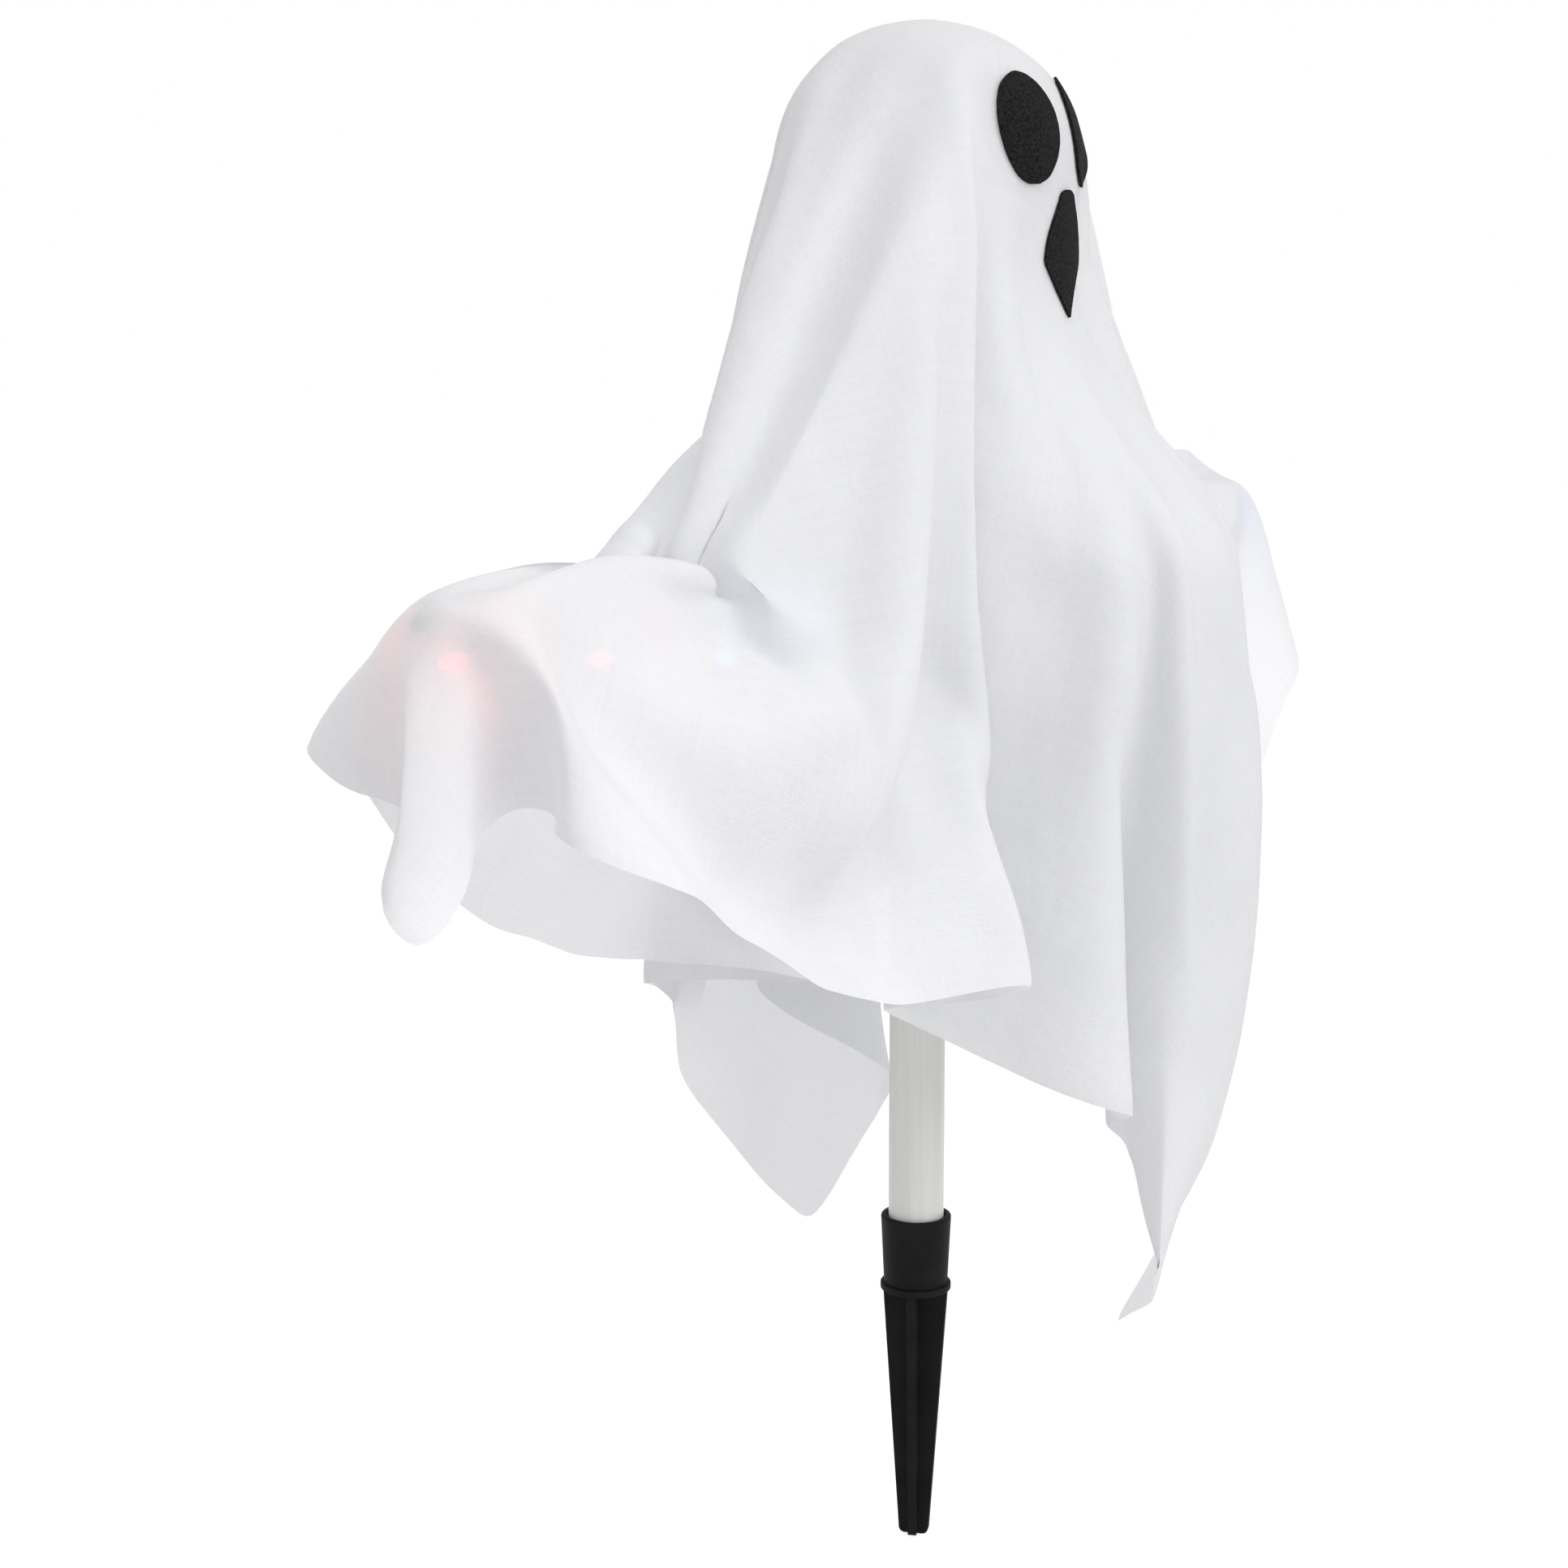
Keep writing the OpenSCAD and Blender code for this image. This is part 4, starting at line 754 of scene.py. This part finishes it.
over_tube = 0.0072
tube_start = 0.02
for v in fine.vertices:
    from_head = v.co - Vector((0, 0, head_centre))
    if from_head.length < over_head:
        v.co += from_head.normalized() * (over_head - from_head.length)
    for across in (-1, 1):
        first, last = on_arm(tube_start), on_arm(hand_centre)
        first.x *= across
        last.x *= across
        along = min(max((v.co - first).dot(last - first) / (last - first).length_squared, 0), 1)
        from_arm = v.co - first.lerp(last, along)
        if 0 < from_arm.length < over_tube:
            v.co += from_arm.normalized() * (over_tube - from_arm.length)
face_spread = math.radians(44)
face_even = math.radians(26)
brow, chin = (0.474, 0.492), (0.4, 0.29)
neck_height, neck_radius = 0.375, 0.058
face_radius = cover_radius + 0.006
crown_free = 0.02
for v in fine.vertices:
    turn = abs(math.atan2(v.co.x, -v.co.y))
    flat_radius = v.co.xy.length
    if turn > face_spread or flat_radius < crown_free or not chin[1] < v.co.z < brow[1]:
        continue
    share = min(max((face_spread - turn) / (face_spread - face_even), 0), 1)
    share *= min((brow[1] - v.co.z) / (brow[1] - brow[0]), (v.co.z - chin[1]) / (chin[0] - chin[1]), 1)
    share = share * share * (3 - 2 * share)
    if v.co.z > head_centre:
        even = face_radius * math.sqrt(max(1 - ((v.co.z - head_centre) / cover_radius) ** 2, 0))
    else:
        below = (head_centre - v.co.z) / (head_centre - neck_height)
        even = face_radius + (neck_radius - face_radius) * below
    v.co.xy *= 1 + share * (even / flat_radius - 1)
sheet_tree = BVHTree.FromPolygons([v.co.copy() for v in fine.vertices],
                                  [p.vertices[:] for p in fine.polygons])

plain_weave, have, give = new_group(
    "plain_weave", {"Thread Scale": "Float", "Slub": "Float"},
    {"Cover": "Float", "Height": "Float", "Streak": "Float"})
thread_place = put(plain_weave, "ShaderNodeUVMap", {"uv_map": "threads"}).outputs[0]
warp, weft = (
    put(plain_weave, "ShaderNodeTexWave", {"wave_type": "BANDS", "bands_direction": way}, Vector=thread_place,
        Scale=have["Thread Scale"], Distortion=0.0).outputs[1] for way in ("X", "Y"))
long_slubs = []
for stretch in ((1.0, 0.02, 1.0), (0.02, 1.0, 1.0)):
    drawn_out = put(plain_weave, "ShaderNodeMapping", Vector=thread_place, Scale=stretch).outputs[0]
    long_slubs.append(noise_at(plain_weave, drawn_out, 700.0, 3.0, 0.6))
slub = calc(plain_weave, "SUBTRACT", calc(plain_weave, "ADD", *long_slubs), 1.0)
streak = calc(plain_weave, "MULTIPLY", slub, have["Slub"])
cover = calc(plain_weave, "MAXIMUM", warp, weft)
thread_height = calc(plain_weave, "ADD", warp, weft)
for socket, value in {"Cover": cover, "Height": thread_height, "Streak": streak}.items():
    plain_weave.links.new(value, give[socket])

voile, tree, output = blank_material("sheer_voile")
weave = place_group(tree, plain_weave, Thread_Scale=620.0, Slub=1.0)
thread_tone = put(tree, "ShaderNodeMapRange", Value=weave["Streak"], From_Min=-0.45, From_Max=0.45)
voile_color = shade(tree, thread_tone.outputs[0], (0.86, 0.863, 0.88, 1), (0.9, 0.902, 0.915, 1))
open_share = put(tree, "ShaderNodeMapRange", Value=weave["Cover"], To_Min=0.93, To_Max=0.985)
solid_share = calc(tree, "MULTIPLY_ADD", weave["Streak"], 0.02)
tree.links.new(open_share.outputs[0], solid_share.node.inputs[2])
crumple = noise_at(tree, object_place(tree), 45.0, 3.0, 0.5)
crumple_bump = put(tree, "ShaderNodeBump", Strength=0.3, Distance=0.004, Height=crumple)
weave_bump = put(tree, "ShaderNodeBump", Strength=0.25, Distance=0.0001, Height=weave["Height"],
                 Normal=crumple_bump.outputs[0])
threads_lit = put(tree, "ShaderNodeBsdfPrincipled", Base_Color=voile_color, Roughness=0.85,
                  Specular_IOR_Level=0.2, Sheen_Weight=0.15, Sheen_Roughness=0.4,
                  Normal=weave_bump.outputs[0])
threads_through = put(tree, "ShaderNodeBsdfTranslucent", Color=voile_color, Normal=weave_bump.outputs[0])
thread_mix = put(tree, "ShaderNodeMixShader", Fac=0.36)
tree.links.new(threads_lit.outputs[0], thread_mix.inputs[1])
tree.links.new(threads_through.outputs[0], thread_mix.inputs[2])
voile_mix = put(tree, "ShaderNodeMixShader", Fac=solid_share)
tree.links.new(put(tree, "ShaderNodeBsdfTransparent", Color=(1, 1, 1, 1)).outputs[0], voile_mix.inputs[1])
tree.links.new(thread_mix.outputs[0], voile_mix.inputs[2])
tree.links.new(voile_mix.outputs[0], output.inputs["Surface"])

for side, across in (("right", -1), ("left", 1)):
    bm = bmesh.new()
    bm.from_mesh(fine)
    shared_normal = bm.verts.layers.float_vector.new("shared_normal")
    for v in bm.verts:
        v[shared_normal] = v.normal
    threads = bm.loops.layers.uv["threads"]
    other = [f for f in bm.faces
             if across * sum(loop[threads].uv.x + loop[threads].uv.y for loop in f.loops) < 0]
    bmesh.ops.delete(bm, geom=other, context="FACES")
    normals = [v[shared_normal].copy() for v in bm.verts]
    bm.verts.layers.float_vector.remove(shared_normal)
    half = new_piece("sheet_" + side, mesh_of(bm, "sheet_" + side))
    half.data.shade_smooth()
    half.data.normals_split_custom_set_from_vertices(normals)
    half.data.materials.clear()
    half.data.materials.append(voile)
    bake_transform(half)
    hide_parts("shroud")
bpy.data.meshes.remove(fine)

# Eyes and mouth. Three pieces of black craft felt, 1.2 mm thick, cut by hand and glued to the front of the
# sheet, two ovals and a drop with its point down.
felt_thick = 0.0012
felt_rings = 7
felt_points = 72
hand_cut = 0.012
glue_gap = 0.0004
felt_sheet, tree, output = blank_material("black_felt")
fibres = noise_at(tree, object_place(tree), 1000.0, 6.0, 0.75)
matting = noise_at(tree, object_place(tree), 260.0, 3.0, 0.6)
fibre_mask = put(tree, "ShaderNodeMapRange", Value=fibres, From_Min=0.42, From_Max=0.66).outputs[0]
felt_tone = shade(tree, fibre_mask, (0.004, 0.004, 0.005, 1), (0.03, 0.029, 0.03, 1))
felt_height = calc(tree, "ADD", fibres, calc(tree, "MULTIPLY", matting, 0.6))
felt_bump = put(tree, "ShaderNodeBump", Strength=0.8, Distance=0.0006, Height=felt_height)
felt_rough = put(tree, "ShaderNodeMapRange", Value=matting, To_Min=0.85, To_Max=1.0)
surface(tree, output, Base_Color=felt_tone, Roughness=felt_rough.outputs[0], Normal=felt_bump.outputs[0],
        Specular_IOR_Level=0.06, Sheen_Weight=0.03, Sheen_Roughness=0.5)


def oval_cut(turn, width, height):
    """The edge of an eye, in a direction from its middle."""
    return Vector((width / 2 * math.cos(turn), height / 2 * math.sin(turn)))


def drop_cut(turn, width, height):
    """The edge of the mouth: a small round top, widest below the middle, then straight to a point."""
    top_width, top_depth, widest = 0.4, 0.08, 0.57
    down = (1 - math.sin(turn)) / 2
    if down < top_depth:
        wide = top_width * math.sqrt(1 - (1 - down / top_depth) ** 2)
    elif down < widest:
        swell = math.sin(math.pi / 2 * (down - top_depth) / (widest - top_depth))
        wide = top_width + (1 - top_width) * swell
    else:
        wide = (1 - down) / (1 - widest)
    return Vector((math.copysign(width / 2 * wide, math.cos(turn)), height * (0.5 - down)))


def felt_piece(name, node, cut, face_turn, middle_height, width, height):
    """A felt shape laid on the draped sheet, facing out from the head."""
    bm = bmesh.new()
    bmesh.ops.create_circle(bm, segments=felt_points, radius=1.0)
    loop = bm.edges[:]
    for ring in range(felt_rings, 1, -1):
        moved = bmesh.ops.extrude_edge_only(bm, edges=loop)["geom"]
        loop = [e for e in moved if isinstance(e, bmesh.types.BMEdge)]
        ring_verts = list({v for e in loop for v in e.verts})
        bmesh.ops.scale(bm, verts=ring_verts, vec=((ring - 1) / ring, (ring - 1) / ring, 1))
    middle = bmesh.ops.edgeloop_fill(bm, edges=loop)["faces"]
    bmesh.ops.poke(bm, faces=middle)
    outward = Vector((math.sin(face_turn), -math.cos(face_turn), 0))
    sideways = Vector((math.cos(face_turn), math.sin(face_turn), 0))
    ahead = 0.2
    for v in bm.verts:
        out = v.co.xy.length
        turn = math.atan2(v.co.y, v.co.x)
        spread = cut(turn, width, height) * out
        if out > 0.99:
            spread *= 1 + hand_cut * noise.noise(Vector((turn * 9, middle_height * 900, face_turn * 40)))
        aim = sideways * spread.x + Vector((0, 0, middle_height + spread.y))
        landed = sheet_tree.ray_cast(aim + outward * ahead, -outward)[0]
        v.co = landed if landed else aim + outward * cover_radius
    inner = [v for v in bm.verts if not v.is_boundary]
    for settle in range(3):
        bmesh.ops.smooth_vert(bm, verts=inner, factor=0.5, use_axis_x=True, use_axis_y=True, use_axis_z=True)
    bmesh.ops.recalc_face_normals(bm, faces=bm.faces)
    bm.normal_update()
    if sum(f.normal.dot(outward) * f.calc_area() for f in bm.faces) < 0:
        bmesh.ops.reverse_faces(bm, faces=bm.faces)
        bm.normal_update()
    for v in bm.verts:
        v.co += v.normal * glue_gap
    bmesh.ops.solidify(bm, geom=bm.faces[:], thickness=-felt_thick)
    bmesh.ops.recalc_face_normals(bm, faces=bm.faces)
    made = new_piece(name, mesh_of(bm, name))
    made.data.shade_smooth()
    made.data.set_sharp_from_angle(angle=math.radians(50))
    made.data.materials.append(felt_sheet)
    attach(made, "ghost")
    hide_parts(node)


eye_turn = math.radians(21)
felt_piece("felt_right_eye", "right_eye", oval_cut, -eye_turn, 0.451, 0.029, 0.040)
felt_piece("felt_left_eye", "left_eye", oval_cut, eye_turn, 0.451, 0.029, 0.040)
felt_piece("felt_mouth", "mouth", drop_cut, 0.0, 0.406, 0.029, 0.047)
